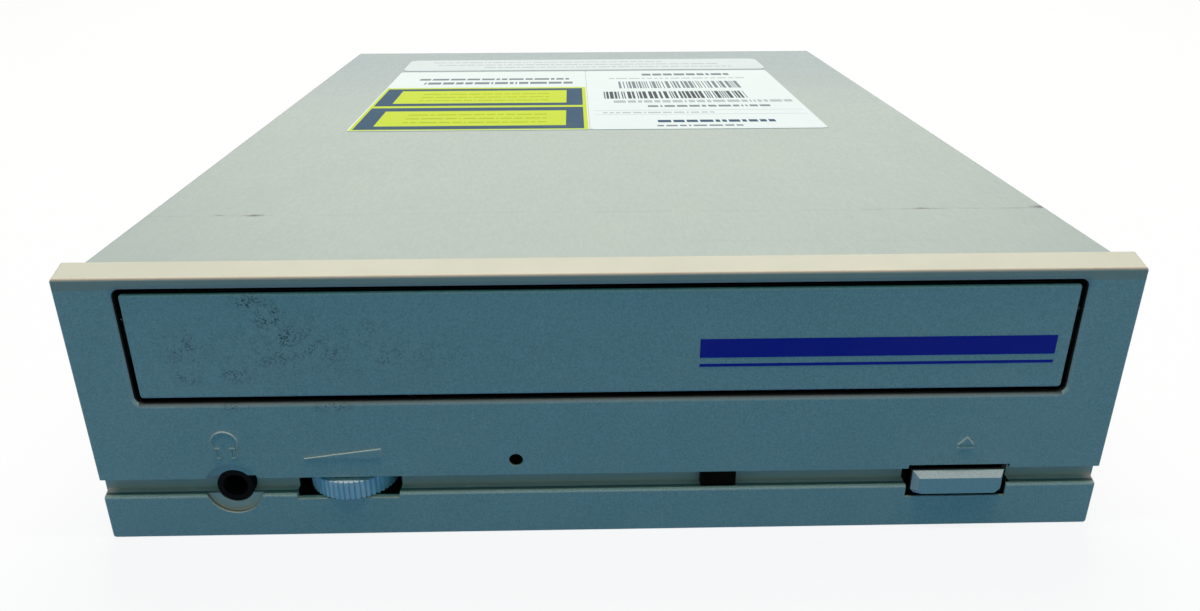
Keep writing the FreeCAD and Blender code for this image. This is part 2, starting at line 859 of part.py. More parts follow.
def button_outline(inset, bevel, y):
    """Six-sided outline of the button at a depth: a rectangle with its two lower corners cut."""
    x0 = button_x - button_width / 2 + inset
    x1 = button_x + button_width / 2 - inset
    z0 = button_low_z + bevel
    z1 = button_low_z + button_height - inset
    cut = 0.65 * button_bevel
    corners = [(x0, z0 + cut), (x0, z1), (x1, z1), (x1, z0 + cut), (x1 - cut, z0), (x0 + cut, z0)]
    points = [V(x, y, z) for x, z in corners]
    return Part.makePolygon(points + points[:1])


def eject_button():
    """Bevelled push button, with a smaller body behind the face, a stop flange and a stem."""
    front = button_outline(button_bevel, 0.6 * button_bevel, face_y - button_proud)
    back = button_outline(0, 0, face_y + running_gap)
    cap = Part.makeLoft([front, back], True, True)
    flange_y = backing_y + running_gap
    body = Part.Face(button_outline(button_step, button_step, face_y + running_gap))
    body = body.extrude(V(0, flange_y - face_y - running_gap, 0))
    x0 = button_x - button_width / 2 - 1.1
    x1 = button_x + button_width / 2 + 1.1
    flange = box(x0, x1, flange_y, flange_y + 1.0, button_low_z - 0.5, button_low_z + button_height + 1.3)
    stem_z = plunger_z()
    stem = box(button_x - stem_width / 2, button_x + stem_width / 2, flange_y + 0.5, plunger_y() - seat_gap,
               stem_z - 1.5, stem_z + 1.5)
    return joined([cap, body, flange, stem])


def plunger_z():
    """Height of the eject switch's push rod: the middle of the button."""
    return button_low_z + button_height / 2


def plunger_y():
    """Front end of the eject switch's push rod."""
    return backing_y + running_gap + 3.4


def switch_plunger():
    """Small push rod of the eject switch."""
    y0 = plunger_y()
    return cylinder_y(plunger_radius, button_x, plunger_z(), y0, y0 + 2.6)


def eject_switch():
    """Side-acting push switch on the front board."""
    y0 = plunger_y() + 1.2
    half = 3.1
    z = plunger_z()
    body = box(button_x - half, button_x + half, y0, y0 + 4.4, board_top_z, z + half)
    return without(body, [cylinder_y(plunger_radius + shaft_clearance, button_x, z, y0 - 1, y0 + 2.2)])


def volume_wheel():
    """Thumbwheel with an upright axis: 52 ribs round its rim and a hub that sits on the post."""
    step = 2 * math.pi / wheel_ribs
    valley = wheel_radius - wheel_rib_depth
    points = []
    for n in range(wheel_ribs):
        for share, radius in ((-0.28, wheel_radius), (0.28, wheel_radius), (0.5, valley)):
            angle = (n + share) * step
            points.append((wheel_x + radius * math.cos(angle), wheel_y + radius * math.sin(angle)))
    rim = plan(points, wheel_low_z, wheel_low_z + wheel_thickness)
    top = wheel_low_z + wheel_thickness
    dish = [(2.6, top + 1), (2.6, top - 0.6), (wheel_radius - 1.6, top - 0.6), (wheel_radius - 1.6, top + 1)]
    bore = cylinder(wheel_post_radius + shaft_clearance, wheel_x, wheel_y, wheel_low_z - 1, top + 1)
    return without(rim, [turned(dish, wheel_x, wheel_y), bore])


def volume_potentiometer():
    """Flat rotary potentiometer under the thumbwheel, with its post."""
    top = wheel_low_z - running_gap
    front = backing_y + running_gap
    body = box(wheel_x - 5.5, wheel_x + 5.5, front, front + 9.6, board_top_z, top)
    post = cylinder(wheel_post_radius, wheel_x, wheel_y, top, wheel_low_z + wheel_thickness)
    return joined([body, post])


def headphone_jack():
    """3.5 mm socket: body on the front board, with a nose in the bezel's hole."""
    nose_y = face_y + jack_recess
    body = box(jack_x - 3.9, jack_x + 3.9, backing_y + seat_gap, backing_y + seat_gap + jack_depth - 0.6,
               board_top_z, 2 * jack_z - board_top_z)
    nose = cylinder_y(jack_hole_radius - seat_gap, jack_x, jack_z, nose_y, backing_y + seat_gap)
    bore = cylinder_y(jack_bore_radius, jack_x, jack_z, nose_y - 1, nose_y + jack_depth)
    return without(joined([body, nose]), [bore])


def led_window():
    """Dark lens in the groove in front of the indicator lamp."""
    z0 = groove_low_z
    z1 = groove_low_z + groove_height
    half = led_width / 2
    lens = box(led_x - half, led_x + half, face_y + led_recess, backing_y, z0, z1)
    flange = box(led_x - half - 0.8, led_x + half + 0.8, backing_y, backing_y + 0.8, z0 - 0.8, z1 + 0.8)
    return joined([lens, flange])


def led():
    """Indicator lamp behind the window, bent down to the front board."""
    z = groove_low_z + groove_height / 2
    y0 = backing_y + 0.8 + seat_gap
    bulb = cylinder_y(1.5, led_x, z, y0 + 1.2, y0 + 3.6)
    dome = Part.makeSphere(1.5, V(led_x, y0 + 1.5, z))
    foot = box(led_x - 1.2, led_x + 1.2, y0 + 2.4, y0 + 3.6, board_top_z, z)
    return joined([bulb, dome, foot])


# Boards and connectors

def board_posts():
    """Standoffs under the two boards."""
    front = [(-46.0, 6.5), (0.0, 3.2), (46.0, 6.5)]
    side = board_half - 4
    main = []
    for y in (main_board_y + 14, case_depth - 8):
        main += [(side, y), (-side, y)]
    return front + main + [(0.0, main_board_y + 90)]


def front_board():
    """Narrow board behind the bezel, notched round the loading motor."""
    y1 = front_board_y + front_board_depth
    board = box(-board_half, board_half, front_board_y, y1, board_low_z, board_top_z)
    notch = cylinder(motor_radius + 0.6, motor_x, loader_y, board_low_z - 1, board_top_z + 1)
    corners = []
    for x, y in post_places()[:1]:
        corners += both_sides(cylinder(post_radius + 0.5, x, y, board_low_z - 1, board_top_z + 1))
        corners += both_sides(box(x, frame_inner, y - 1.8, y + 1.8, board_low_z - 1, board_top_z + 1))
    return without(board, [notch] + corners)


def main_board():
    """Main board under the mechanism, up to the rear wall."""
    y1 = case_depth - sheet - seat_gap
    board = box(-board_half, board_half, main_board_y, y1, board_low_z, board_top_z)
    corners = []
    for x, y in post_places()[1:]:
        corners += both_sides(cylinder(post_radius + 0.5, x, y, board_low_z - 1, board_top_z + 1))
        corners += both_sides(box(x, frame_inner, y - 1.8, y + 1.8, board_low_z - 1, board_top_z + 1))
    return without(board, corners)


def rear_openings():
    """Cut-outs of the rear wall round the connectors."""
    y0 = case_depth - sheet - 1
    y1 = case_depth + 1
    gap = running_gap
    places = [
        (ide_x, ide_width, ide_height),
        (power_x, power_width, power_height),
        (jumper_x, 9.0, small_height),
        (audio_x, small_width(4), small_height),
        (digital_x, small_width(2), small_height),
    ]
    cutters = []
    for x, width, height in places:
        half = width / 2 + gap
        cutters.append(box(x - half, x + half, y0, y1, board_top_z - gap, board_top_z + height + gap))
    return cutters


def socket(x, width, height, depth, wall, cavity):
    """Open connector housing that faces the back."""
    half = width / 2
    inner = half - wall
    top = board_top_z + height
    body = box(x - half, x + half, case_depth - depth, case_depth, board_top_z, top)
    hollow = box(x - inner, x + inner, case_depth - cavity, case_depth + 1, board_top_z + wall, top - wall)
    return body, hollow


def square_pin(x, z, y0, y1):
    """Straight square contact pin from front to back."""
    return box(x - pin_half, x + pin_half, y0, y1, z - pin_half, z + pin_half)


def ide_header():
    """Forty-way shrouded header with its key slot."""
    body, hollow = socket(ide_x, ide_width, ide_height, ide_depth, ide_wall, ide_cavity)
    top = board_top_z + ide_height
    key = box(ide_x - ide_key_half, ide_x + ide_key_half, case_depth - ide_cavity, case_depth + 1,
              top - ide_wall - 0.5, top + 1)
    return without(body, [hollow, key])


def ide_pins():
    """Two rows of square pins; the keyed place is empty."""
    pins = []
    middle = board_top_z + ide_height / 2
    root = case_depth - ide_cavity
    for column in range(ide_columns):
        x = ide_x + (column - (ide_columns - 1) / 2) * pin_pitch
        for z in (middle - pin_pitch / 2, middle + pin_pitch / 2):
            if column == 9 and z > middle:
                continue
            pins.append(square_pin(x, z, root, root + ide_pin_reach))
    return Part.Compound(pins)


def power_connector():
    """Four-way power inlet with chamfered upper corners."""
    body, hollow = socket(power_x, power_width, power_height, power_depth, power_wall, power_cavity)
    chamfers = power_corners(power_width / 2, board_top_z + power_height)
    fill = power_corners(power_width / 2 - power_wall, board_top_z + power_height - power_wall)
    return without(body, [hollow.cut(fill)] + chamfers)


def power_corners(half, top):
    """Two three-sided bars along the upper corners of the power inlet."""
    y0 = case_depth - power_depth - 1
    bars = []
    for side in (-1, 1):
        x = power_x + side * half
        points = [V(x, y0, top), V(x - side * power_chamfer, y0, top), V(x, y0, top - power_chamfer)]
        bars.append(prism(points, V(0, power_depth + 2, 0)))
    return bars


def power_pins():
    """Four round pins with rounded tips."""
    pins = []
    z = board_top_z + power_height / 2
    tip_y = case_depth - power_pin_inset
    for n in range(4):
        x = power_x + (n - 1.5) * power_pin_pitch
        pin = cylinder_y(power_pin_radius, x, z, case_depth - power_cavity, tip_y)
        tip = Part.makeCone(power_pin_radius, power_pin_radius - 0.5, power_tip, V(x, tip_y, z), Y_AXIS)
        pins.append(joined([pin, tip]))
    return Part.Compound(pins)


def small_width(ways):
    """Width of a sound socket with a number of pins."""
    return ways * pin_pitch + 2.2


def small_socket(x, ways):
    """Keyed header for one of the sound cables: an open box with its pins."""
    body, hollow = socket(x, small_width(ways), small_height, small_depth, small_wall, small_cavity)
    top = board_top_z + small_height
    latch = box(x - small_latch_half, x + small_latch_half, case_depth - small_cavity, case_depth + 1,
                top - 1.2, top + 1)
    pins = []
    z = board_top_z + small_height / 2
    for n in range(ways):
        px = x + (n - (ways - 1) / 2) * pin_pitch
        pins.append(square_pin(px, z, case_depth - small_cavity - 0.5, case_depth - 2.0))
    return joined([without(body, [hollow, latch])] + pins)


def jumper_block():
    """Three pairs of pins on a strip for the drive selection."""
    y0 = case_depth - jumper_depth
    base = box(jumper_x - 1.5 * pin_pitch, jumper_x + 1.5 * pin_pitch, y0, y0 + jumper_strip,
               board_top_z, board_top_z + 2 * pin_pitch)
    pins = []
    for n in range(3):
        for row in (0.5, 1.5):
            x = jumper_x + (n - 1) * pin_pitch
            z = board_top_z + row * pin_pitch
            pins.append(square_pin(x, z, y0 + 2.0, case_depth - 0.5))
    return joined([base] + pins)


def jumper_cap():
    """Shorting cap over the first pair of pins."""
    x = jumper_x - pin_pitch
    y0 = case_depth - jumper_depth + jumper_strip + seat_gap
    cap = box(x - jumper_cap_half, x + jumper_cap_half, y0, case_depth - 0.1,
              board_top_z + seat_gap, board_top_z + 2 * pin_pitch - seat_gap)
    wide = pin_half + shaft_clearance
    holes = []
    for row in (0.5, 1.5):
        z = board_top_z + row * pin_pitch
        holes.append(box(x - wide, x + wide, y0 - 1, case_depth - 0.4, z - wide, z + wide))
    return without(cap, holes)


def board_chips():
    """Flat chip packages on the main board, low enough to clear the lowered traverse."""
    packages = []
    for x, back, width, depth, height in chips:
        y = main_board_y + back
        packages.append(box(x - width / 2, x + width / 2, y - depth / 2, y + depth / 2,
                            board_top_z, board_top_z + height))
    return Part.Compound(packages)


def board_capacitors():
    """Round capacitors behind the frame."""
    tall = []
    for x, inset, radius, height in capacitors:
        top = board_top_z + height
        profile = [
            (0, board_top_z),
            (radius, board_top_z),
            (radius, top - 0.4),
            (radius - 0.4, top),
            (0, top),
        ]
        tall.append(turned(profile, x, case_depth - inset))
    return Part.Compound(tall)


def front_ribbon():
    """Flat cable from the front board to the main board."""
    thick = ribbon_thickness
    z0 = board_top_z
    rise = z0 + 0.5
    start = front_board_y + front_board_depth - 3.0
    end = main_board_y + 4.0
    under = [
        (start, z0),
        (start + 2.4, z0),
        (start + 4.0, rise),
        (end - 4.0, rise),
        (end - 2.4, z0),
        (end, z0),
    ]
    over = [
        (end, z0 + thick),
        (end - 2.2, z0 + thick),
        (end - 3.8, rise + thick),
        (start + 3.8, rise + thick),
        (start + 2.2, z0 + thick),
        (start, z0 + thick),
    ]
    return prism([V(ribbon_x, y, z) for y, z in under + over], V(ribbon_width, 0, 0))


# Loader

def pinion_phase():
    """Angle of one tooth of the rack pinion: it points at the rack, on the left."""
    return math.pi


def drive_gear():
    """Big wheel with its rack pinion on top; one tooth of the wheel points at the pulley gear."""
    wheel = spur(drive_teeth, train_module, backlash_coarse, drive_gear_x, loader_y,
                 drive_gear_z, drive_gear_z + gear_face, 0)
    neck = cylinder(5.6, drive_gear_x, loader_y, drive_gear_z, rack_low_z + 0.1)
    pinion = spur(rack_pinion_teeth, rack_module, backlash_coarse, drive_gear_x, loader_y,
                  rack_low_z + 0.1, pinion_top_z, pinion_phase())
    bore = cylinder(axle_radius + shaft_clearance, drive_gear_x, loader_y, drive_gear_z - 1, pinion_top_z + 1)
    holes = ring_of_holes(6, 30, 9.6, 1.7, drive_gear_x, drive_gear_z - 1, drive_gear_z + gear_face + 1)
    return without(joined([wheel, neck, pinion]), [bore] + holes)


def ring_of_holes(count, first_degrees, distance, radius, x, z0, z1):
    """Lightening holes in a ring round one of the loader's axles, as cutters."""
    holes = []
    for n in range(count):
        angle = math.radians(360 * n / count + first_degrees)
        hole_x = x + distance * math.cos(angle)
        hole_y = loader_y + distance * math.sin(angle)
        holes.append(cylinder(radius, hole_x, hole_y, z0, z1))
    return holes


def pulley_profile(inner, groove):
    """Half section of a belt pulley with a bore: its groove lies between two lips."""
    lip = groove + groove_lip
    z0 = pulley_low_z
    z1 = pulley_low_z + pulley_height
    side = (pulley_height - belt_width - 0.4) / 2
    return [
        (inner, z0),
        (lip, z0),
        (lip, z0 + side),
        (groove, z0 + side),
        (groove, z1 - side),
        (lip, z1 - side),
        (lip, z1),
        (inner, z1),
    ]


def pulley_gear():
    """Belt pulley with the small gear that drives the big wheel."""
    z0 = pulley_low_z
    z1 = pulley_low_z + pulley_height
    top = drive_gear_z + gear_face + running_gap
    pulley = turned(pulley_profile(0, pulley_groove_radius), pulley_gear_x, loader_y)
    half_pitch = math.pi / pulley_teeth
    small = spur(pulley_teeth, train_module, backlash_coarse, pulley_gear_x, loader_y,
                 z1, top, math.pi + half_pitch)
    bore = cylinder(axle_radius + shaft_clearance, pulley_gear_x, loader_y, z0 - 1, top + 1)
    holes = ring_of_holes(5, 0, 7.4, 1.9, pulley_gear_x, z0 - 1, z1 + 1)
    return without(joined([pulley, small]), [bore] + holes)


def gear_axles():
    """Two steel pins pressed into the deck."""
    pulley_axle_top = drive_gear_z + gear_face + 2 * running_gap
    return Part.Compound([
        cylinder(axle_radius, drive_gear_x, loader_y, deck_low_z, pinion_top_z + 0.2),
        cylinder(axle_radius, pulley_gear_x, loader_y, deck_low_z, pulley_axle_top),
    ])


def motor_pulley():
    """Small brass pulley on the loading motor's shaft."""
    return turned(pulley_profile(motor_shaft_radius, motor_groove_radius), motor_x, loader_y)


def motor_shaft():
    """Steel shaft of the loading motor, up through its pulley."""
    top = pulley_low_z + pulley_height + 0.3
    return cylinder(motor_shaft_radius, motor_x, loader_y, deck_low_z - 3.0, top)


def loading_motor():
    """Round motor hung under the deck, with its front boss in the deck's hole."""
    z1 = deck_low_z
    z0 = z1 - motor_height
    bore = motor_shaft_radius + shaft_clearance
    profile = [
        (0, z0),
        (motor_radius - 0.8, z0),
        (motor_radius, z0 + 0.8),
        (motor_radius, z1),
        (motor_boss_radius, z1),
        (motor_boss_radius, z1 + 1.2),
        (bore, z1 + 1.2),
        (bore, z1 - 3.2),
        (0, z1 - 3.2),
    ]
    can = turned(profile, motor_x, loader_y)
    edge_y = loader_y + motor_radius
    lug = box(motor_x - 4, motor_x + 4, edge_y - 2, edge_y + 0.4, z0 + 1.5, z0 + 4.0)
    return joined([can, lug])


def belt_loop(extra):
    """Outline of the belt as it runs round both pulleys, at a distance from their grooves."""
    big = pulley_groove_radius + extra
    small = motor_groove_radius + extra
    distance = motor_x - pulley_gear_x
    lean = math.asin((big - small) / distance)
    c, s = math.sin(lean), math.cos(lean)
    p1 = V(pulley_gear_x + big * c, loader_y + big * s, 0)
    p2 = V(motor_x + small * c, loader_y + small * s, 0)
    p3 = V(motor_x + small * c, loader_y - small * s, 0)
    p4 = V(pulley_gear_x + big * c, loader_y - big * s, 0)
    edges = [Part.makeLine(p1, p2), Part.Arc(p2, V(motor_x + small, loader_y, 0), p3).toShape(),
             Part.makeLine(p3, p4), Part.Arc(p4, V(pulley_gear_x - big, loader_y, 0), p1).toShape()]
    return Part.Face(Part.Wire(edges))


def drive_belt():
    """Square rubber belt."""
    z0 = pulley_low_z + (pulley_height - belt_width) / 2
    outer = belt_loop(seat_gap + belt_thickness).extrude(V(0, 0, belt_width))
    inner = belt_loop(seat_gap).extrude(V(0, 0, belt_width))
    belt = outer.cut(inner)
    belt.translate(V(0, 0, z0))
    return belt


# Tray

def disc_tray():
    """Moulded tray: skirted plate with recesses for both disc sizes and the keyhole slot."""
    y0 = tray_front_y
    y1 = tray_back_y
    inner = tray_half - tray_skirt
    block = box(-tray_half, tray_half, y0, y1, tray_low_z, tray_top_z)
    block = rounded(block, tray_end_round,
                    lambda e: near(e.BoundBox.ZLength, tray_height) and near(e.BoundBox.YMin, y1))
    under = box(-inner, inner, y0 + tray_skirt, y1 + 1, tray_low_z - 1, tray_under_z)
    shell = block.cut(under)
    pocket_radius = small_disc_radius + disc_clearance + tray_skirt
    pocket = cylinder(pocket_radius, 0, disc_centre_y, small_under_z, tray_under_z + shaft_clearance)
    corners = corner_pockets(y0, y1)
    shell = joined([shell.cut(corners), pocket])
    deep = cylinder(recess_radius, 0, disc_centre_y, disc_floor_z, tray_top_z + 1)
    deep = rounded(deep, recess_round, lambda e: near(e.BoundBox.ZMax, disc_floor_z))
    small = cylinder(small_disc_radius + disc_clearance, 0, disc_centre_y, small_floor_z, disc_floor_z + 1)
    slot = cylinder(slot_half, 0, disc_centre_y, small_under_z - 1, tray_top_z + 1)
    run = box(-slot_half, slot_half, disc_centre_y, y1 + 1, small_under_z - 1, tray_top_z + 1)
    scoop = cylinder(scoop_radius, recess_radius - scoop_inset, disc_centre_y, disc_floor_z, tray_top_z + 1)
    scoop = scoop.common(box(-inner, inner, y0, y1, disc_floor_z, tray_top_z + 1))
    return without(shell, [deep, small, slot, run] + both_sides(scoop))


def tray_rack():
    """Rack under the left of the tray, which the loader's pinion drives."""
    outline = rack_outline(rack_pitch_x, loader_y, 2, rack_teeth - 2,
                           rack_module, backlash_coarse, 1, rack_back)
    return plan(outline, rack_low_z, tray_under_z)


def corner_pockets(y0, y1):
    """Hollows under the raised corners, so that the walls stay thin."""
    ring = cylinder(recess_radius + tray_skirt, 0, disc_centre_y, tray_low_z - 1, tray_top_z)
    inner = tray_half - tray_skirt
    low = box(-inner, inner, y0 + tray_skirt, y1 - tray_skirt, tray_low_z - 1, tray_top_z - tray_floor)
    wide = slot_half + tray_skirt
    slot_walls = box(-wide, wide, disc_centre_y, y1 + 1, tray_low_z - 1, tray_top_z)
    rack_root = box(rack_pitch_x - 6, rack_pitch_x + 3, y0, y1, tray_low_z - 1, tray_top_z)
    return low.cut([ring, slot_walls, rack_root])


# Clamp

def clamp_bridge():
    """Steel bridge over the disc, with a round hole for the clamper and two pressed ribs."""
    y0 = disc_centre_y - bridge_half_y
    y1 = disc_centre_y + bridge_half_y
    plate = box(-frame_outer, frame_outer, y0, y1, frame_top_z, bridge_top_z)
    ribs = []
    for y in (y0 + 2.4, y1 - 2.4):
        ribs += both_sides(box(24.0, frame_inner - 4, y - 1.2, y + 1.2, bridge_top_z, bridge_top_z + 1.0))
    hole = cylinder(clamper_radius + 0.6, 0, disc_centre_y, frame_top_z - 1, bridge_top_z + 2)
    windows = []
    for side in (-1, 1):
        outline = [(side * 24.0, disc_centre_y - 13), (side * 56.0, disc_centre_y - 16),
                   (side * 56.0, disc_centre_y + 16), (side * 24.0, disc_centre_y + 13)]
        windows.append(plan(outline, frame_top_z - 1, bridge_top_z + 2))
    wall_x = frame_inner + frame_wall / 2
    screws = []
    for y in (y0 + 5, y1 - 5):
        screws += both_sides(cylinder(screw_radius + 0.1, wall_x, y, frame_top_z - 1, bridge_top_z + 1))
    return without(joined([plate] + ribs), [hole] + windows + screws)


def bridge_screws():
    """Four screws that hold the bridge to the frame's walls."""
    screws = []
    for y in (disc_centre_y - bridge_half_y + 5, disc_centre_y + bridge_half_y - 5):
        profile = [(0, frame_top_z), (1.0, frame_top_z), (1.0, bridge_top_z), (2.3, bridge_top_z),
                   (2.0, bridge_top_z + 1.3), (0, bridge_top_z + 1.3)]
        screws += both_sides(turned(profile, frame_inner + frame_wall / 2, y))
    return Part.Compound(screws)


def clamper_puck():
    """Clamping puck: a flange that hangs on the bridge, a body through its hole and a pad ring below."""
    low = flange_low_z - clamper_drop
    top = cap_top_z
    inner = cone_radius + 0.8
    flange_top = flange_low_z + clamper_flange
    pocket = yoke_radius + seat_gap
    pocket_z = top - yoke_thickness - 2 * seat_gap
    profile = [
        (inner, low),
        (clamper_radius - 0.4, low),
        (clamper_radius, low + 0.4),
        (clamper_radius, flange_low_z),
        (clamper_flange_radius, flange_low_z),
        (clamper_flange_radius, flange_top),
        (yoke_radius + 3.0, flange_top),
        (yoke_radius + 2.2, top),
        (pocket, top),
        (pocket, pocket_z),
        (0, pocket_z),
        (0, low + cone_height + 0.6),
        (inner, low + cone_height + 0.2),
    ]
    return turned(profile, 0, disc_centre_y)


def clamper_yoke():
    """Steel disc in the top of the puck, which the spindle's magnet pulls down."""
    top = cap_top_z - 0.2
    return cylinder(yoke_radius, 0, disc_centre_y, top - yoke_thickness, top)


# Lift

def cam_slider():
    """Sliding cam: an upright wall with two slanted slots, and the wedge that the emergency pin pushes."""
    x0 = cam_pins_x[0] - cam_travel - cam_end
    x1 = cam_pins_x[1] + cam_end
    wall = box(x0, x1, cam_y, cam_y + cam_wall, cam_low_z, cam_top_z)
    wide = cam_pin_radius + cam_slot_clearance
    cutters = []
    for x in cam_pins_x:
        high = V(x, cam_y - 1, cam_pin_z)
        low = V(x - cam_travel, cam_y - 1, cam_pin_z - cam_fall)
        run = high.sub(low)
        side = V(-run.z, 0, run.x)
        side.normalize()
        side.multiply(wide)
        ramp = prism([high.add(side), low.add(side), low.sub(side), high.sub(side)], V(0, cam_wall + 2, 0))
        cutters += [ramp, cylinder_y(wide, high.x, high.z, cam_y - 1, cam_y + cam_wall + 1),
                    cylinder_y(wide, low.x, low.z, cam_y - 1, cam_y + cam_wall + 1)]
    tip_x = pinhole_x + wedge_tip
    wedge = plan([(tip_x - wedge_width, cam_y), (tip_x, cam_y), (tip_x, cam_y - wedge_depth)],
                 pinhole_z - wedge_below, pinhole_z + wedge_above)
    rib_z = cam_low_z + cam_rib_rise
    rib = box(x0, x1, cam_y - cam_rib_depth, cam_y, rib_z, rib_z + cam_rib_height)
    return without(joined([wall, wedge, rib]), cutters)


def lift_frame():
    """Moulded ring that tilts about its rear trunnions and rides on the cam by its front pins."""
    y1 = hinge_y + trunnion_radius
    rails = both_sides(box(lift_half - lift_rail, lift_half, lift_front_y, y1, lift_low_z, lift_top_z))
    front = box(-lift_half, lift_half, lift_front_y, lift_front_y + lift_front_bar, lift_low_z, lift_top_z)
    rear = box(-lift_half, lift_half, y1 - lift_rear_bar, y1, lift_low_z, lift_top_z)
    pins = []
    for x in cam_pins_x:
        pins.append(cylinder_y(cam_pin_radius, x, cam_pin_z, cam_y - running_gap, lift_front_y + 1))
    trunnion_end = lift_half + 1 + trunnion_length
    trunnions = both_sides(cylinder_x(trunnion_radius, hinge_y, hinge_z, lift_half - 1, trunnion_end))
    ring = joined(rails + [front, rear])
    wall = lift_wall
    pockets = both_sides(box(lift_half - lift_rail + wall, lift_half - wall, lift_front_y + 22, hinge_y - 24,
                             lift_low_z - 1, lift_top_z - wall))
    pilots = [cylinder(damper_screw_radius, x, y, lift_low_z + 1, lift_top_z + 1) for x, y in damper_places()]
    return without(joined([ring] + pins + trunnions), pockets + pilots)


def damper_places():
    """Where the four rubber mounts stand on the lift frame."""
    x = lift_half - lift_rail / 2
    front = lift_front_y + damper_inset_y
    back = hinge_y - damper_inset_y - 2
    return [(-x, front), (x, front), (-x, back), (x, back)]


def dampers():
    """Soft rubber mounts between the lift frame and the traverse plate."""
    z0 = lift_top_z
    z3 = lift_top_z + damper_height
    rings = []
    wide = damper_radius - 0.3
    bore = damper_screw_radius + seat_gap
    profile = [
        (bore, z0),
        (wide, z0),
        (wide, plate_low_z),
        (damper_waist, plate_low_z),
        (damper_waist, plate_top_z),
        (wide, plate_top_z),
        (wide, z3),
        (bore, z3),
    ]
    for x, y in damper_places():
        rings.append(turned(profile, x, y))
    return Part.Compound(rings)


def damper_screws():
    """Shouldered screws through the rubber mounts."""
    z = lift_top_z + damper_height
    low = lift_top_z - damper_screw_depth
    radius = damper_screw_radius
    head = damper_screw_head
    profile = [(0, low), (radius, low), (radius, z), (head, z), (head - 0.3, z + 0.4), (0, z + 0.4)]
    screws = []
    for x, y in damper_places():
        screws.append(turned(profile, x, y))
    return Part.Compound(screws)


def traverse_plate():
    """Steel plate on the rubber mounts: openings for the pickup and the spindle, and folded-down edges."""
    pieces = [box(-plate_half, plate_half, plate_front_y, plate_back_y, plate_low_z, plate_top_z)]
    for x, y in damper_places():
        pieces.append(box(min(x, x / 2), max(x, x / 2), y - 4.2, y + 4.2, plate_low_z, plate_top_z))
        pieces.append(cylinder(4.2, x, y, plate_low_z, plate_top_z))
    flange = box(plate_half - plate_sheet, plate_half, plate_front_y + 12, plate_back_y - 16,
                 plate_low_z - plate_flange, plate_low_z)
    pieces += both_sides(flange)
    for x in (-rod_x, rod_x):
        for y in (rod_front_y, rod_back_y - clip_length):
            clip = box(x - clip_half, x + clip_half, y, y + clip_length, plate_low_z, rod_z + 0.6)
            pieces.append(clip)
    plate = joined(pieces)
    z0 = plate_low_z - 1
    z1 = plate_top_z + 1
    cutters = [box(-opening_half, opening_half, opening_front_y, opening_back_y, z0, z1)]
    cutters.append(cylinder(5.0, 0, disc_centre_y, z0, z1))
    cutters.append(cylinder(2.6, sled_gear_x, sled_motor_y, z0, z1))
    for x, y in damper_places():
        cutters.append(cylinder(damper_waist, x, y, z0, z1))
    y0 = rod_front_y + 1
    y1 = rod_back_y - 1
    for x, radius in ((rod_x, rod_radius), (-rod_x, sub_rod_radius)):
        cutters.append(cylinder_y(radius, x, rod_z, y0, y1))
        cutters.append(box(x - radius, x + radius, y0, y1, rod_z, rod_z + 3))
    front = plate_front_y + 4
    side = plate_half - 6.5
    windows = both_sides(plan([(14.0, front), (side, front), (side, front + 14), (22.0, front + 14)], z0, z1))
    axle = cylinder(sled_axle_radius, sled_gear_x, sled_y, plate_low_z, rod_z + 2.8)
    return joined([without(plate, cutters + windows), axle])


def spindle_motor():
    """Fixed part of the spindle motor: base, bearing tube and ring of coils."""
    r = spindle_shaft_radius + shaft_clearance
    low = plate_low_z - 3.4
    coil_radius = rotor_radius - 2.2
    coil_z = rotor_low_z + 0.4
    base_z = plate_low_z - 1.4
    profile = [
        (r, low + 0.8),
        (r, rotor_top_z - 1.6),
        (3.6, rotor_top_z - 1.6),
        (3.6, coil_z + 0.8),
        (coil_radius, coil_z + 0.8),
        (coil_radius, coil_z),
        (4.8, coil_z),
        (4.8, plate_low_z),
        (spindle_base_radius, plate_low_z),
        (spindle_base_radius, base_z),
        (6.0, base_z),
        (6.0, low),
        (0, low),
        (0, low + 0.8),
    ]
    base = turned(profile, 0, disc_centre_y)
    poles = []
    for n in range(9):
        pole = box(3.0, rotor_radius - 2.0, -1.5, 1.5, rotor_low_z + 1.0, rotor_top_z - 2.2)
        pole.rotate(V(0, 0, 0), Z_AXIS, 40 * n)
        pole.translate(V(0, disc_centre_y, 0))
        poles.append(pole)
    bore = cylinder(r, 0, disc_centre_y, low + 0.8, rotor_top_z)
    return without(joined([base] + poles), [bore])


def spindle_rotor():
    """Turning cup of the spindle motor with its shaft."""
    r = rotor_radius
    s = spindle_shaft_radius
    low = plate_low_z - 2.4
    under = rotor_top_z - 1.0
    top = seat_z - 0.4
    profile = [
        (0, low),
        (s, low),
        (s, under),
        (r - 1.2, under),
        (r - 1.2, rotor_low_z),
        (r, rotor_low_z),
        (r, rotor_top_z - 0.5),
        (r - 0.5, rotor_top_z),
        (s + 0.6, rotor_top_z),
        (s, rotor_top_z + 0.2),
        (s, top),
        (0, top),
    ]
    return turned(profile, 0, disc_centre_y)


def turntable():
    """Disc seat with its friction ring and hub, pressed on the shaft."""
    t = turntable_radius
    z0 = seat_z - turntable_thickness
    s = spindle_shaft_radius
    hub = cone_radius + 0.3
    profile = [
        (s, z0),
        (5.0, z0),
        (6.0, z0 + 0.8),
        (t, z0 + 0.9),
        (t, seat_z - 0.1),
        (t - 0.4, seat_z - 0.1),
        (t - 0.4, seat_z),
        (t - 4.4, seat_z),
        (t - 4.4, seat_z - 0.3),
        (hub, seat_z - 0.3),
        (hub, seat_z - 1.0),
        (s, seat_z - 1.0),
    ]
    return turned(profile, 0, disc_centre_y)


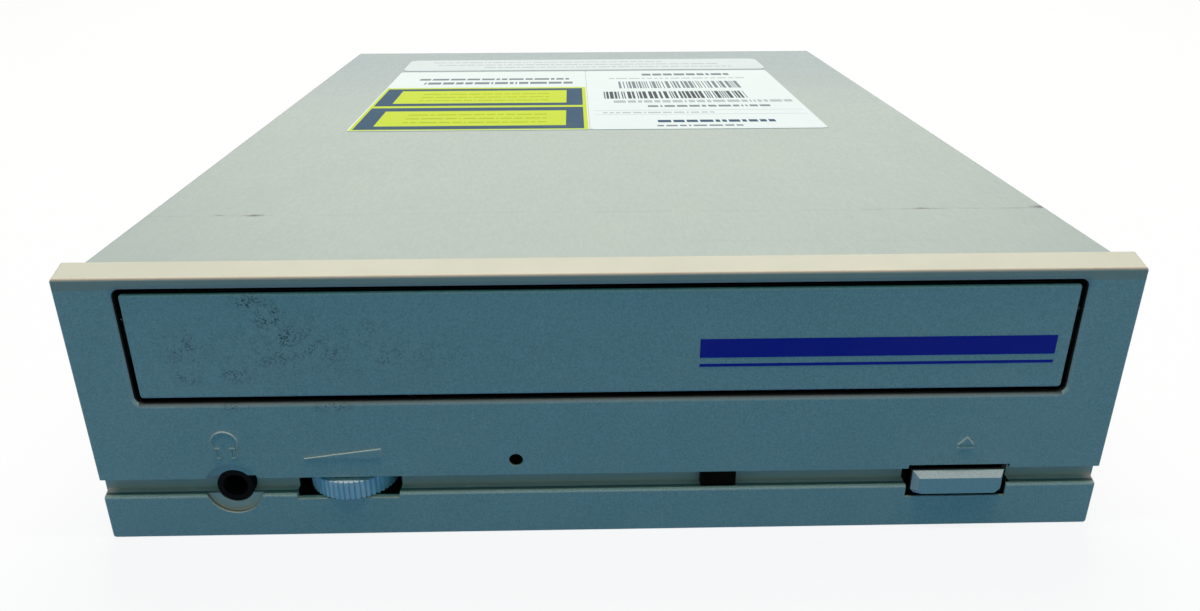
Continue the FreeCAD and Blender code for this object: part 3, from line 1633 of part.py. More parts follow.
def centring_cone():
    """Cone that centres the disc, with the magnet ring in its top."""
    z0 = seat_z - 1.0
    top = seat_z + cone_height
    s = spindle_shaft_radius
    magnet = cone_radius - 2.3
    profile = [
        (s, z0),
        (cone_radius, z0),
        (cone_radius, seat_z + 0.5),
        (cone_radius - 1.3, top),
        (magnet, top),
        (magnet, top - 0.3),
        (0, top - 0.3),
        (0, seat_z - 0.4),
        (s, seat_z - 0.4),
    ]
    return turned(profile, 0, disc_centre_y)


def guide_rod(x, radius):
    """Steel rod from clip to clip, on which the pickup runs."""
    return cylinder_y(radius, x, rod_z, rod_front_y + 1, rod_back_y - 1)


def pickup_housing():
    """Cast pickup body between the rods: bearing bosses, a fork and the well for the lens."""
    y0 = pickup_front_y
    y1 = pickup_front_y + pickup_length
    outline = [(-pickup_half, y0 + 5), (-pickup_half + 7, y0), (pickup_half - 7, y0), (pickup_half, y0 + 5),
               (pickup_half, y1 - 3), (pickup_half - 4, y1), (-pickup_half + 4, y1), (-pickup_half, y1 - 3)]
    body = plan(outline, pickup_low_z, pickup_top_z)
    turret = box(-11.0, 11.0, lens_y - 7.0, lens_y + 10.0, pickup_top_z, pickup_top_z + 1.3)
    bearing_low = rod_z - bearing_half
    bearing_top = rod_z + bearing_half
    bosses = []
    for start in (y0 + bearing_inset, y1 - bearing_inset - bearing_length):
        end = start + bearing_length
        bosses.append(box(pickup_half - 2, rod_x, start, end, bearing_low, bearing_top))
        bosses.append(cylinder_y(bearing_half, rod_x, rod_z, start, end))
    fork = box(-rod_x - fork_reach, -pickup_half + 2, y0 + 7, y0 + 14, bearing_low, bearing_top)
    whole = joined([body, turret, fork] + bosses)
    cutters = [cylinder_y(rod_radius + shaft_clearance, rod_x, rod_z, y0 - 1, y1 + 1)]
    half = sub_rod_radius + shaft_clearance
    cutters.append(box(-rod_x - 5, -rod_x + 1.6, y0, y1, rod_z - half, rod_z + half))
    cutters.append(box(-9.0, 9.0, lens_y - 5.6, lens_y + lens_well_back, lens_well_z(), pickup_top_z + 2))
    return without(whole, cutters)


def lens_well_z():
    """Floor of the well in which the lens holder floats."""
    return pickup_top_z - 4.2


def pickup_rack():
    """Toothed strip on the left of the pickup, joined to it by an arm over the rod."""
    before = int(pickup_travel / (math.pi * sled_rack_module)) + 3
    outline = rack_outline(sled_rack_x, sled_y, before, 2, sled_rack_module, backlash_fine, -1, 1.4)
    strip = plan(outline, sled_pinion_z, pickup_top_z)
    inner_x = sled_rack_x + sled_rack_module * 1.2 + 1.0
    arm_y = pickup_front_y + 8.0
    arm = box(inner_x, -pickup_half, arm_y, arm_y + 9.0, rod_z + bearing_half - 1.0, pickup_top_z)
    pad = box(-rod_x - fork_reach, -pickup_half, arm_y - 1, arm_y + 6.0,
              rod_z - bearing_half, rod_z + bearing_half)
    return joined([strip, arm.cut(pad)])


def lens_holder():
    """Moulded holder that floats in the pickup's well on spring wires."""
    z0 = lens_well_z() + lens_travel + 0.4
    top = lens_top_z - lens_dome
    body = box(-lens_holder_half, lens_holder_half, lens_y - lens_holder_depth, lens_y + lens_holder_depth,
               z0, pickup_top_z + 0.9)
    rim = lens_collar_radius
    collar = turned([(0, z0), (rim, z0), (rim, top - 0.4), (rim - 0.4, top), (0, top)], 0, lens_y)
    seat = top - lens_seat_depth
    light_path = cylinder(lens_radius - 0.7, 0, lens_y, z0 - 1, top)
    lens_seat = cylinder(lens_radius, 0, lens_y, seat, top + 1)
    return without(joined([body, collar]), [light_path, lens_seat])


def lens_suspension():
    """Block behind the lens holder with the four spring wires that run beside it."""
    z0 = lens_well_z()
    y1 = lens_y + lens_well_back
    half = lens_holder_half + suspension_side
    front = y1 - suspension_depth
    block = box(-half, half, front, y1, z0, pickup_top_z + suspension_rise)
    wire_x = lens_holder_half + running_gap / 2 + wire_radius
    wires = []
    for z in (z0 + wire_low, z0 + wire_low + wire_pitch):
        wires += both_sides(cylinder_y(wire_radius, wire_x, z, lens_y - wire_reach, front + wire_root))
    return joined([block] + wires)


def objective_lens():
    """Small domed lens in the holder."""
    top = lens_top_z - lens_dome
    seat = top - lens_seat_depth
    sphere = (lens_radius ** 2 + lens_dome ** 2) / (2 * lens_dome)
    dome = Part.makeSphere(sphere, V(0, lens_y, lens_top_z - sphere))
    blank = cylinder(lens_radius, 0, lens_y, seat, lens_top_z + 1)
    return blank.common(dome.fuse(cylinder(lens_radius, 0, lens_y, seat, top)))


def sled_phase():
    """The sled pinion has one tooth towards the rack, on its right."""
    return 0.0


def sled_gear():
    """Sled wheel with the pinion that moves the pickup's rack."""
    wheel = spur(sled_teeth, sled_module, backlash_fine, sled_gear_x, sled_y,
                 sled_gear_z, sled_gear_z + sled_face, math.pi / 2)
    neck = cylinder(2.6, sled_gear_x, sled_y, sled_gear_z, sled_pinion_z)
    pinion = spur(sled_pinion_teeth, sled_rack_module, backlash_fine, sled_gear_x, sled_y,
                  sled_pinion_z, pickup_top_z, sled_phase())
    bore_radius = sled_axle_radius + shaft_clearance
    bore = cylinder(bore_radius, sled_gear_x, sled_y, sled_gear_z - 1, pickup_top_z + 1)
    return without(joined([wheel, neck, pinion]), [bore])


def sled_motor():
    """Small motor under the plate for the sled."""
    z1 = plate_low_z
    z0 = z1 - sled_motor_height
    r = sled_shaft_radius + shaft_clearance
    profile = [(0, z0), (sled_motor_radius - 0.6, z0), (sled_motor_radius, z0 + 0.6), (sled_motor_radius, z1),
               (2.4, z1), (2.4, z1 + 0.9), (r, z1 + 0.9), (r, z1 - 2.4), (0, z1 - 2.4)]
    return turned(profile, sled_gear_x, sled_motor_y)


def sled_motor_pinion():
    """Ten-tooth brass pinion with its shaft."""
    half_pitch = math.pi / sled_motor_teeth
    pinion = spur(sled_motor_teeth, sled_module, backlash_fine, sled_gear_x, sled_motor_y,
                  sled_gear_z, sled_gear_z + sled_face + 0.6, -math.pi / 2 + half_pitch)
    top = sled_gear_z + sled_face + 0.8
    shaft = cylinder(sled_shaft_radius, sled_gear_x, sled_motor_y, plate_low_z - 2.2, top)
    return joined([pinion, shaft])


def nodes():
    """Every node with its solid."""
    return {
        "front_bezel": front_bezel(),
        "top_cover": top_cover(),
        "bottom_pan": bottom_pan(),
        "case_screws": case_screws(),
        "main_frame": main_frame(),
        "front_board": front_board(),
        "main_board": main_board(),
        "board_chips": board_chips(),
        "board_capacitors": board_capacitors(),
        "front_ribbon": front_ribbon(),
        "ide_header": ide_header(),
        "ide_pins": ide_pins(),
        "power_connector": power_connector(),
        "power_pins": power_pins(),
        "audio_connector": small_socket(audio_x, 4),
        "digital_audio_connector": small_socket(digital_x, 2),
        "jumper_block": jumper_block(),
        "jumper_cap": jumper_cap(),
        "headphone_jack": headphone_jack(),
        "volume_potentiometer": volume_potentiometer(),
        "led": led(),
        "led_window": led_window(),
        "eject_switch": eject_switch(),
        "loading_motor": loading_motor(),
        "drive_belt": drive_belt(),
        "gear_axles": gear_axles(),
        "clamp_bridge": clamp_bridge(),
        "bridge_screws": bridge_screws(),
        "eject_button": eject_button(),
        "switch_plunger": switch_plunger(),
        "volume_wheel": volume_wheel(),
        "disc_tray": disc_tray(),
        "tray_rack": tray_rack(),
        "tray_front": tray_front(),
        "motor_pulley": motor_pulley(),
        "motor_shaft": motor_shaft(),
        "pulley_gear": pulley_gear(),
        "drive_gear": drive_gear(),
        "clamper_puck": clamper_puck(),
        "clamper_yoke": clamper_yoke(),
        "cam_slider": cam_slider(),
        "lift_frame": lift_frame(),
        "dampers": dampers(),
        "damper_screws": damper_screws(),
        "traverse_plate": traverse_plate(),
        "spindle_motor": spindle_motor(),
        "main_rod": guide_rod(rod_x, rod_radius),
        "sub_rod": guide_rod(-rod_x, sub_rod_radius),
        "sled_motor": sled_motor(),
        "sled_motor_pinion": sled_motor_pinion(),
        "sled_gear": sled_gear(),
        "spindle_rotor": spindle_rotor(),
        "turntable": turntable(),
        "centring_cone": centring_cone(),
        "pickup_housing": pickup_housing(),
        "pickup_rack": pickup_rack(),
        "lens_suspension": lens_suspension(),
        "lens_holder": lens_holder(),
        "objective_lens": objective_lens(),
    }


def main():
    os.makedirs("parts", exist_ok=True)
    for name, shape in nodes().items():
        moved = shape.copy()
        moved.translate(V(0, -origin_y, 0))
        moved.exportStep("parts/" + name + ".step")


main()
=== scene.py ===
"""Dresses the disc recorder: finishes, the label, the door's stripe, the raised icons and the stage.

Everything is in metres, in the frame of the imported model: X to the right, Y to the back, Z up. The tables
below are in millimetres, apart from the stage's.
"""

import json
import math

import bmesh
import bpy
import numpy as np
from mathutils import Matrix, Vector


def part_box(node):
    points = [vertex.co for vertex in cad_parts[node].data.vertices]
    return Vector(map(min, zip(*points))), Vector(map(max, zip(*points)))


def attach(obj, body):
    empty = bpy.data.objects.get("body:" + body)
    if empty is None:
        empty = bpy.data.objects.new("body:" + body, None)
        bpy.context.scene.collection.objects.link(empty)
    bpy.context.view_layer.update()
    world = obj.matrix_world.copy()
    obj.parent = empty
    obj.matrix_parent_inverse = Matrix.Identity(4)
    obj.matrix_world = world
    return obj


bl_info = {
    "name": "Disc Recorder Dresser",
    "version": (1, 0, 0),
    "blender": (4, 5, 0),
    "location": "View3D > Sidebar > Recorder",
    "description": "Finishes, label, icons and stage for a half-height disc recorder",
    "category": "Object",
}

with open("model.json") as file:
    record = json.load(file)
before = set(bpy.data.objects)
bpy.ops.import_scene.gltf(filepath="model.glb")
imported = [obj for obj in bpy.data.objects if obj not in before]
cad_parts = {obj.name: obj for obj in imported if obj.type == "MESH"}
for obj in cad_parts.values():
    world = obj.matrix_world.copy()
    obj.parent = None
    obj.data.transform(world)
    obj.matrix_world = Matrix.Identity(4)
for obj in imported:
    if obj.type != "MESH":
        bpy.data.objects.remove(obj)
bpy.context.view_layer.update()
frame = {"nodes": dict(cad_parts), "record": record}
NODES = frame["nodes"]
MM = 0.001
DOOR_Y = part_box("tray_front")[0][1] / MM     # the door's face, from which depths on the front are measured
ROOF_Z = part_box("top_cover")[1][2] / MM
LEFT, RIGHT = -80.0, 80.0                    # past both ends of the bezel


# Wear, and painted light and shade, on the front and the roof

# Dust settled in the grain: middle X and Z, half width, half height, strength
GRIME_PATCHES = (
    (-48.2, 37.6, 3.6, 2.6, 0.95), (-45.6, 35.8, 3.4, 3.6, 0.95), (-43.6, 32.6, 3.0, 3.4, 0.8),
    (-40.5, 31.5, 5.5, 5.0, 0.5), (-57.8, 31.2, 5.5, 4.5, 0.6), (-58.4, 26.4, 4.0, 2.6, 0.5),
    (-51.5, 26.8, 4.5, 2.0, 0.6), (-45.0, 29.4, 7.0, 3.0, 0.5), (-38.0, 30.5, 5.0, 4.5, 0.5),
    (-30.0, 29.6, 5.5, 3.0, 0.5), (-24.0, 30.0, 6.0, 4.0, 0.3), (-32.0, 34.0, 7.0, 3.0, 0.3),
    (-38.8, 21.6, 4.5, 1.3, 0.9), (-52.0, 22.0, 4.0, 1.2, 0.7), (-40.0, 31.0, 30.0, 9.0, 0.3),
    (-5.0, 30.0, 30.0, 8.0, 0.12))
GRIME_DEPTH = 9.0

# Painted light and shade on the bezel, in the order that they go on: boxes of lowest and highest X, depth and
# Z; share; colour
BEZEL_PAINTED_LIGHT_AND_SHADE = (
    # the shade under the groove's upper edge
    (((LEFT, RIGHT, 0.9, 2.5, 9.0, 10.15),), 0.6, "#6f8fa0"),
    # painted warm light in the groove and in the jack's dish
    (((LEFT, RIGHT, 0.9, 2.5, 7.0, 9.0), (-58.8, -50.2, 0.3, 2.2, 3.8, 8.2)), 0.9, "#fbd6bf"),
    # painted shade: the dark line inside the groove's lower edge and round the dish
    (((LEFT, RIGHT, 0.25, 0.95, 7.0, 7.3), (-58.8, -50.2, 0.05, 0.55, 3.8, 7.1)), 0.65, "#35322c"),
    # painted warm light on the upper front edge
    (((LEFT, RIGHT, -1.0, 0.15, 39.9, 43.0),), 0.8, "#d4b69c"),
    # painted shade, black: the gaps round the door and the button, the wheel's slot, a painted shadow at the
    # right of the button's hole, the window's seat and the small hole
    (((-67.1, 67.1, 0.12, 20.0, 21.5, 40.0), (45.06, 60.24, 0.10, 20.0, 5.0, 10.64),
      (-45.5, -30.2, 0.85, 20.0, 4.2, 10.1), (60.2, 60.9, 0.3, 20.0, 6.9, 10.1),
      (14.3, 19.7, 2.2, 20.0, 7.0, 10.1), (-14.2, -11.6, 0.12, 20.0, 11.2, 13.8)), 1.0, "#050505"))
LIP_PAINTED_SHADE_BOX = (-65.6, 65.6, -0.3, 1.2, 21.8, 22.72)        # rounded lower edge of the tray's opening, which gets painted shade
LIP_LOW, LIP_HIGH, LIP_PAINTED_SHADE_SHARE = 21.85, 22.6, 0.9        # its painted shade deepens upwards from 0 to the share
GRAIN_BOX = (LEFT, RIGHT, -5.0, 0.3, -5.0, 50.0)       # all that faces the front
# painted shade on the door's sides, between its rounded edge and its back
DOOR_SIDES_PAINTED_SHADE = (LEFT, RIGHT, 0.45, 1.25, 0.0, 60.0)
# painted shade on the button's sides behind the bezel's face
BUTTON_SIDES_PAINTED_SHADE = (0.0, RIGHT, -0.1, 20.0, 0.0, 60.0)

# Dark rubs on the roof: middle X and Y, half length, half width, strength
ROOF_MARKS = ((-55.0, -65.3, 2.4, 0.85, 0.9), (-60.6, -65.1, 1.2, 0.5, 0.5),
              (52.2, -64.8, 2.0, 0.5, 0.9), (72.0, -64.6, 2.8, 1.0, 1.0))
MARK_DEPTH = 5.0
BACK_SHADE_FROM, BACK_SHADE_TO = 0.0, 85.0                         # painted cool shade on the roof deepens from here to there along Y
SCRATCHED_TO, SCRATCHED_LESS = -75.0, -30.0            # the scratches thin out between these two along Y
SCUFF_Y, SCUFF_WANDER = -65.1, 0.4                     # long scuff: its middle, and how far it leaves it
SCUFF_CORE, SCUFF_EDGE = 0.12, 0.45                    # half its width where it is full, and where it ends
SCUFF_FAINT, SCUFF_STRONG = 30.0, 50.0                 # it grows strong between these two along X


# Print and icons

WHITE, BACK_WHITE, YELLOW, SLATE = "#e6ebee", "#d9dfe2", "#c8d744", "#39546d"
OLIVE, DARK_GREY, GREY, PALE = "#aab820", "#4c5258", "#80878e", "#b4babf"

# Label sheets: lowest and highest X and Y and the stock's colour, and then the rounding of the corners
BACK_SHEET, BACK_CORNER = (-53.2, 52.3, 68.0, 86.7, BACK_WHITE), 2.5
LEFT_SHEET, LEFT_CORNER = (-53.0, -0.4, -7.6, 65.8, WHITE), 0.8
RIGHT_SHEET, RIGHT_CORNER = (-0.3, 51.6, -7.6, 65.9, WHITE), 1.2
CORNER_SHARES = (0.12, 0.35, 0.65, 1.0)                # where extra cuts follow the rounding

# Rows of small print: lowest and highest X and Y, ink, seed, longest bar
BACK_ROWS = ((-46.0, 24.0, 81.5, 82.6, PALE, 20, 4.0), (-44.0, 40.0, 77.0, 78.1, PALE, 21, 4.0),
             (-30.0, 44.0, 72.5, 73.6, PALE, 22, 4.0))
LEFT_ROWS = ((-46.0, -5.0, 52.5, 55.0, GREY, 41, 4.5), (-44.0, -4.0, 46.5, 49.5, GREY, 42, 4.5))
RIGHT_ROWS = ((15.5, 40.0, 58.0, 61.0, GREY, 50, 3.0), (6.0, 44.0, 53.0, 54.2, PALE, 51, 3.0),
              (6.0, 50.0, 20.6, 23.4, PALE, 52, 3.0), (14.0, 43.5, 15.3, 17.4, GREY, 53, 3.0),
              (3.0, 30.0, 8.6, 9.8, PALE, 54, 3.0), (15.0, 42.5, -1.2, 1.2, SLATE, 55, 3.0),
              (14.5, 33.5, -5.2, -3.8, GREY, 56, 3.0))
PRINT_PITCH = 0.5

# Rows of upright bars: lowest and highest X and Y, ink, seed
BAR_ROWS = ((8.3, 40.4, 39.2, 49.0, GREY, 5), (3.9, 39.8, 25.7, 34.8, DARK_GREY, 6))
BAR_WIDTHS, BAR_GAPS = (0.3, 0.3, 0.6, 0.9), (0.3, 0.3, 0.6)
RULES = ((1.0, 50.5, 11.6, 11.9, PALE), (1.0, 50.5, 7.0, 7.3, PALE))

YELLOW_GROUND = (-52.7, -0.7, -7.3, 41.6, YELLOW)
# Yellow fields: lowest and highest Y of the slate frame, and then of the field
FIELDS = ((18.4, 40.0, 21.4, 37.3), (-6.4, 16.2, -3.2, 12.4))
FRAME_X, FIELD_X = (-52.0, -1.6), (-48.0, -5.6)
FIELD_ROW_X, FIELD_ROW_HEIGHT, FIELD_LONGEST = (-42.0, -10.0), 0.9, 5.0
FIELD_FIRST_ROW, FIELD_ROW_PITCH, FIELD_ROW_SEEDS = 3.0, 4.0, (30, 31, 32)

STRIPE_END, STRIPE_THICK, STRIPE_GAP = 63.3, 0.02, 0.01
# Stripes on the door: name, ink, lowest and highest Z
STRIPES = (("door_stripe", "ink_pad_printed", 28.7, 31.6),
           ("door_stripe_thin", "ink_pad_printed_thin", 27.3, 27.75))

ICON_SINK = 0.05                                       # how far an icon's feet go into the face
PHONES_X, PHONES_Z, BAND_RADIUS = -54.66, 16.0, 1.85   # middle and radius of the headphones' band
# The band's ends and the cups, from the middle, each X and Z of a point or X of the cup's left
BAND_LEFT, BAND_RIGHT = ((-1.60, 13.70), (-1.62, 13.80)), ((1.60, 13.60), (1.58, 13.50))
CUPS, CUP_WIDTH, CUP_LOW, CUP_HIGH = (-1.42, 0.76), 0.62, 13.55, 15.15
VOLUME_WEDGE = ((-43.6, 13.3), (-32.35, 14.8), (-32.35, 13.2))
EJECT_ARROW = ((51.75, 14.1), (53.0, 15.45), (54.25, 14.1))
EJECT_BAR = ((51.75, 13.25), (51.75, 13.7), (54.25, 13.7), (54.25, 13.25))


# Stage, with lengths in metres

# Lamps: name, place, target, width and depth, power, colour
LAMPS = (("lamp_roof", (0.03, 0.80, 1.15), (0.0, 0.02, 0.03), (1.3, 1.3), 18.5, (1.0, 0.86, 0.66)),
         ("lamp_edges", (0.0, -0.29, 1.35), (0.0, -0.09, 0.03), (0.30, 0.30), 2.8, (0.86, 1.0, 0.75)),
         ("lamp_brow", (0.0, -0.128, 1.35), (0.0, -0.128, 0.0), (2.0, 0.07), 7.5, (0.91, 0.80, 1.0)))
SEEN_WHITE = (1.0, 1.0, 1.0, 1.0)
ROOM_LIGHT, ROOM_POWER = (0.05, 0.41, 0.50, 1.0), 0.4
TABLE, TABLE_LIGHT, TABLE_POWER = (0.06, 0.13, 0.25, 1.0), (0.0, 0.21, 0.60, 1.0), 0.3
PAPER, GLOW_SHARE = (0.9, 0.9, 0.9, 1.0), 0.86
FLOOR_Z, FLOOR_RADII, FLOOR_CORNERS = -0.0002, (0.0001, 0.5, 2.0, 6.0), 64
CAMERA_PLACE = (-0.00399, -0.20939, 0.08792)
PITCH, YAW, ROLL = 23.858, -1.133, -0.200    # degrees down, to the left and anticlockwise
SENSOR, LENS = 36.0, 28.164                  # in millimetres
SHIFT = (0.0064, 0.0036)                     # in widths of the picture
NEAR_CLIP = 0.01


# Colours and nodes

# Kinds of node: Blender's name, settings, the inputs that add fills in this order, the output that it gives
KINDS = {
    "coordinates": ("ShaderNodeTexCoord", {}, (), "Object"),
    "print": ("ShaderNodeAttribute", {"attribute_name": "print"}, (), "Color"),
    "stretched": ("ShaderNodeMapping", {}, ("Vector", "Scale"), "Vector"),
    "noise": ("ShaderNodeTexNoise", {}, ("Vector", "Scale", "Detail", "Roughness"), "Fac"),
    "dots": ("ShaderNodeTexVoronoi", {}, ("Vector", "Scale", "Randomness"), "Distance"),
    "cells": ("ShaderNodeTexVoronoi", {"distance": "CHEBYCHEV", "feature": "DISTANCE_TO_EDGE"},
              ("Vector", "Scale", "Randomness"), "Distance"),
    "x": ("ShaderNodeSeparateXYZ", {}, (0,), "X"),
    "y": ("ShaderNodeSeparateXYZ", {}, (0,), "Y"),
    "z": ("ShaderNodeSeparateXYZ", {}, (0,), "Z"),
    "away": ("ShaderNodeVectorMath", {"operation": "SUBTRACT"}, (0, 1), "Vector"),
    "scaled": ("ShaderNodeVectorMath", {"operation": "MULTIPLY"}, (0, 1), "Vector"),
    "folded": ("ShaderNodeVectorMath", {"operation": "ABSOLUTE"}, (0,), "Vector"),
    "length": ("ShaderNodeVectorMath", {"operation": "LENGTH"}, (0,), "Value"),
    "times": ("ShaderNodeMath", {"operation": "MULTIPLY"}, (0, 1), 0),
    "plus": ("ShaderNodeMath", {"operation": "ADD"}, (0, 1), 0),
    "larger": ("ShaderNodeMath", {"operation": "MAXIMUM"}, (0, 1), 0),
    "below": ("ShaderNodeMath", {"operation": "LESS_THAN"}, (0, 1), 0),
    "unsigned": ("ShaderNodeMath", {"operation": "ABSOLUTE"}, (0,), 0),
    # from two values smoothly onto two others, which are 0 and 1 where not given
    "ramp": ("ShaderNodeMapRange", {"interpolation_type": "SMOOTHSTEP"},
             ("Value", "From Min", "From Max", "To Min", "To Max"), "Result"),
    # share of the second colour, first colour, second colour
    "mix": ("ShaderNodeMix", {"data_type": "RGBA"}, (0, 6, 7), 2),
    "bump": ("ShaderNodeBump", {}, ("Height", "Strength", "Distance"), "Normal"),
    "surface": ("ShaderNodeBsdfPrincipled", {}, ("Base Color", "Roughness"), "BSDF"),
    "dull": ("ShaderNodeBsdfDiffuse", {}, ("Color",), 0),
    "glow": ("ShaderNodeEmission", {}, ("Color", "Strength"), 0),
    "sky": ("ShaderNodeBackground", {}, ("Color", "Strength"), 0),
    "blend": ("ShaderNodeMixShader", {}, (0, 1, 2), 0),
    "both": ("ShaderNodeAddShader", {}, (0, 1), 0),
    "camera_rays": ("ShaderNodeLightPath", {}, (), "Is Camera Ray"),
    "gloss_rays": ("ShaderNodeLightPath", {}, (), "Is Glossy Ray"),
    "glass_rays": ("ShaderNodeLightPath", {}, (), "Is Transmission Ray"),
    "material": ("ShaderNodeOutputMaterial", {}, ("Surface",), None),
    "world": ("ShaderNodeOutputWorld", {}, ("Surface",), None),
}
BUMP_STRENGTH = 0.6


def linear(hex_colour):
    """sRGB hex colour as linear red, green, blue and alpha."""
    text = hex_colour.lstrip("#")
    channels = []
    for start in (0, 2, 4):
        value = int(text[start:start + 2], 16) / 255
        channels.append(value / 12.92 if value <= 0.04045 else ((value + 0.055) / 1.055) ** 2.4)
    return (*channels, 1.0)


def hex_of(colour):
    """Linear colour as an sRGB hex colour."""
    text = "#"
    for value in colour[:3]:
        shown = value * 12.92 if value <= 0.0031308 else 1.055 * value ** (1 / 2.4) - 0.055
        text += "%02x" % int(round(max(0.0, min(1.0, shown)) * 255))
    return text


def add(tree, kind, *values, named=None):
    """Adds a node, sets or links its inputs, in the order of its kind or by name, and gives its output."""
    blender_name, settings, inputs, output = KINDS[kind]
    node = tree.nodes.new(blender_name)
    for key, value in settings.items():
        setattr(node, key, value)
    for key, value in (*zip(inputs, values), *(named or {}).items()):
        if isinstance(value, bpy.types.NodeSocket):
            tree.links.new(value, node.inputs[key])
        else:
            node.inputs[key].default_value = value
    return None if output is None else node.outputs[output]


def blank_material(name):
    """Empty material, its node tree, and the object's own coordinates in it."""
    material = bpy.data.materials.new(name)
    material.use_nodes = True
    tree = material.node_tree
    tree.nodes.clear()
    return material, tree, add(tree, "coordinates")


def clouds(tree, place, size_mm, detail=3.0, rough=0.55, stretch=None):
    """Cloudy value from 0 to 1 with patches of about size_mm, drawn out along an axis by stretch below 1."""
    if stretch:
        place = add(tree, "stretched", place, stretch)
    return add(tree, "noise", place, 1.0 / (size_mm * MM), detail, rough)


def patch(tree, place, middle_mm, reach_mm):
    """1 at a point and 0 beyond reach, in millimetres along each axis."""
    away = add(tree, "away", place, tuple(value * MM for value in middle_mm))
    away = add(tree, "scaled", away, tuple(1.0 / (value * MM) for value in reach_mm))
    return add(tree, "ramp", add(tree, "length", away), 0.0, 1.0, 1.0, 0.0)


def inside(tree, place, box):
    """1 inside a box of the front, given by its lowest and highest X, depth and Z, and 0 outside it."""
    x0, x1, depth0, depth1, z0, z1 = box
    low = np.array((x0, DOOR_Y + depth0, z0)) * MM
    high = np.array((x1, DOOR_Y + depth1, z1)) * MM
    away = add(tree, "away", place, tuple((low + high) / 2))
    folded = add(tree, "folded", add(tree, "scaled", away, tuple(2 / (high - low))))
    most = add(tree, "larger", add(tree, "x", folded), add(tree, "y", folded))
    most = add(tree, "larger", most, add(tree, "z", folded))
    return add(tree, "below", most, 1.0)


def finish_surface(tree, colour, roughness, bump, bump_mm, plain):
    """Surface with a colour, a roughness, a bump unless it is None, and plain values by the input's name."""
    named = dict(plain)
    if bump is not None:
        named["Normal"] = add(tree, "bump", bump, BUMP_STRENGTH, bump_mm * MM)
    add(tree, "material", add(tree, "surface", colour, roughness, named=named))


def moulded(name, hex_colour, hex_patch, grain_mm, rough, depth_mm, ior, extra=None, coat=0.0, shine=0.5):
    """Injection-moulded plastic: an even colour with faint clouds, and the fine grain of its mould."""
    material, tree, place = blank_material(name)
    share = add(tree, "ramp", clouds(tree, place, size_mm=18.0, detail=4.0), 0.3, 0.7)
    colour = add(tree, "mix", share, linear(hex_colour), linear(hex_patch))
    grain = clouds(tree, place, grain_mm, detail=2.0, rough=0.6)
    change = add(tree, "ramp", clouds(tree, place, size_mm=6.0), 0.3, 0.7, -0.05, 0.05)
    roughness = add(tree, "plus", change, rough)
    if extra:
        colour, roughness = extra(tree, place, colour, roughness)
    finish_surface(tree, colour, roughness, grain, depth_mm,
                   {"IOR": ior, "Specular IOR Level": shine, "Coat Weight": coat, "Coat Roughness": 0.25})
    return material


def metal(name, hex_colour, hex_patch, rough, metallic, line_mm, stretch, depth_mm, extra=None):
    """Worked metal: fine lines or spangle in the roughness and height, with a slight change of tone."""
    material, tree, place = blank_material(name)
    share = add(tree, "ramp", clouds(tree, place, size_mm=12.0, detail=4.0), 0.3, 0.7)
    colour = add(tree, "mix", share, linear(hex_colour), linear(hex_patch))
    lines = clouds(tree, place, line_mm, rough=0.6, stretch=stretch)
    change = add(tree, "ramp", lines, 0.25, 0.75, -0.08, 0.08)
    roughness = add(tree, "plus", change, rough)
    if extra:
        colour, roughness = extra(tree, place, colour, roughness)
    finish_surface(tree, colour, roughness, lines, depth_mm, {"Metallic": metallic})
    return material


# Wear and dirt, and painted light and shade

def eroded_grain(tree, place, colour):
    """Light and dark points of the front's spark-eroded texture, drawn at 0.22 mm so that they show."""
    points = clouds(tree, place, size_mm=0.22, detail=2.0, rough=0.7)
    front = inside(tree, place, GRAIN_BOX)
    light = add(tree, "times", add(tree, "ramp", points, 0.50, 0.68, 0.0, 0.22), front)
    dark = add(tree, "times", add(tree, "ramp", points, 0.32, 0.50, 0.20, 0.0), front)
    colour = add(tree, "mix", light, colour, linear("#ffffff"))
    return add(tree, "mix", dark, colour, linear("#4b4a44"))


def front_grime(tree, place, colour, roughness):
    """Dark specks of dust in the grain of the door's left half and under it, and a dull film in places."""
    colour = eroded_grain(tree, place, colour)
    specks = add(tree, "ramp", clouds(tree, place, size_mm=0.30, detail=2.0, rough=0.7), 0.50, 0.57)
    clumps = add(tree, "ramp", clouds(tree, place, size_mm=1.5, detail=4.0, rough=0.6), 0.40, 0.56)
    areas = 0.0
    for x, z, wide, high, strength in GRIME_PATCHES:
        area = patch(tree, place, (x, DOOR_Y, z), (wide, GRIME_DEPTH, high))
        areas = add(tree, "larger", areas, add(tree, "times", area, strength))
    share = add(tree, "times", add(tree, "times", specks, clumps), areas)
    colour = add(tree, "mix", share, colour, linear("#232827"))
    film = add(tree, "ramp", clouds(tree, place, size_mm=14.0, detail=4.0), 0.45, 0.8, 0.0, 0.10)
    colour = add(tree, "mix", film, colour, linear("#a9aca2"))
    return colour, add(tree, "plus", roughness, add(tree, "times", share, 0.2))


def bezel_grime_and_painted_shading(tree, place, colour, roughness):
    """The front's grime, painted shade on the lower lip of the tray's opening, and the painted light and
    shade of the groove, the dish, the upper edge and the gaps.
    """
    colour, roughness = front_grime(tree, place, colour, roughness)
    # painted shade on the rounded lower lip of the tray's opening
    shade = add(tree, "ramp", add(tree, "z", place), LIP_LOW * MM, LIP_HIGH * MM, 0.0, LIP_PAINTED_SHADE_SHARE)
    share = add(tree, "times", inside(tree, place, LIP_PAINTED_SHADE_BOX), shade)
    colour = add(tree, "mix", share, colour, linear("#1c1c1a"))
    # painted light and shade of the groove, the dish, the upper edge and the gaps
    for boxes, share, tint in BEZEL_PAINTED_LIGHT_AND_SHADE:
        area = 0.0
        for box in boxes:
            area = add(tree, "larger", area, inside(tree, place, box))
        colour = add(tree, "mix", add(tree, "times", area, share), colour, linear(tint))
    return colour, roughness


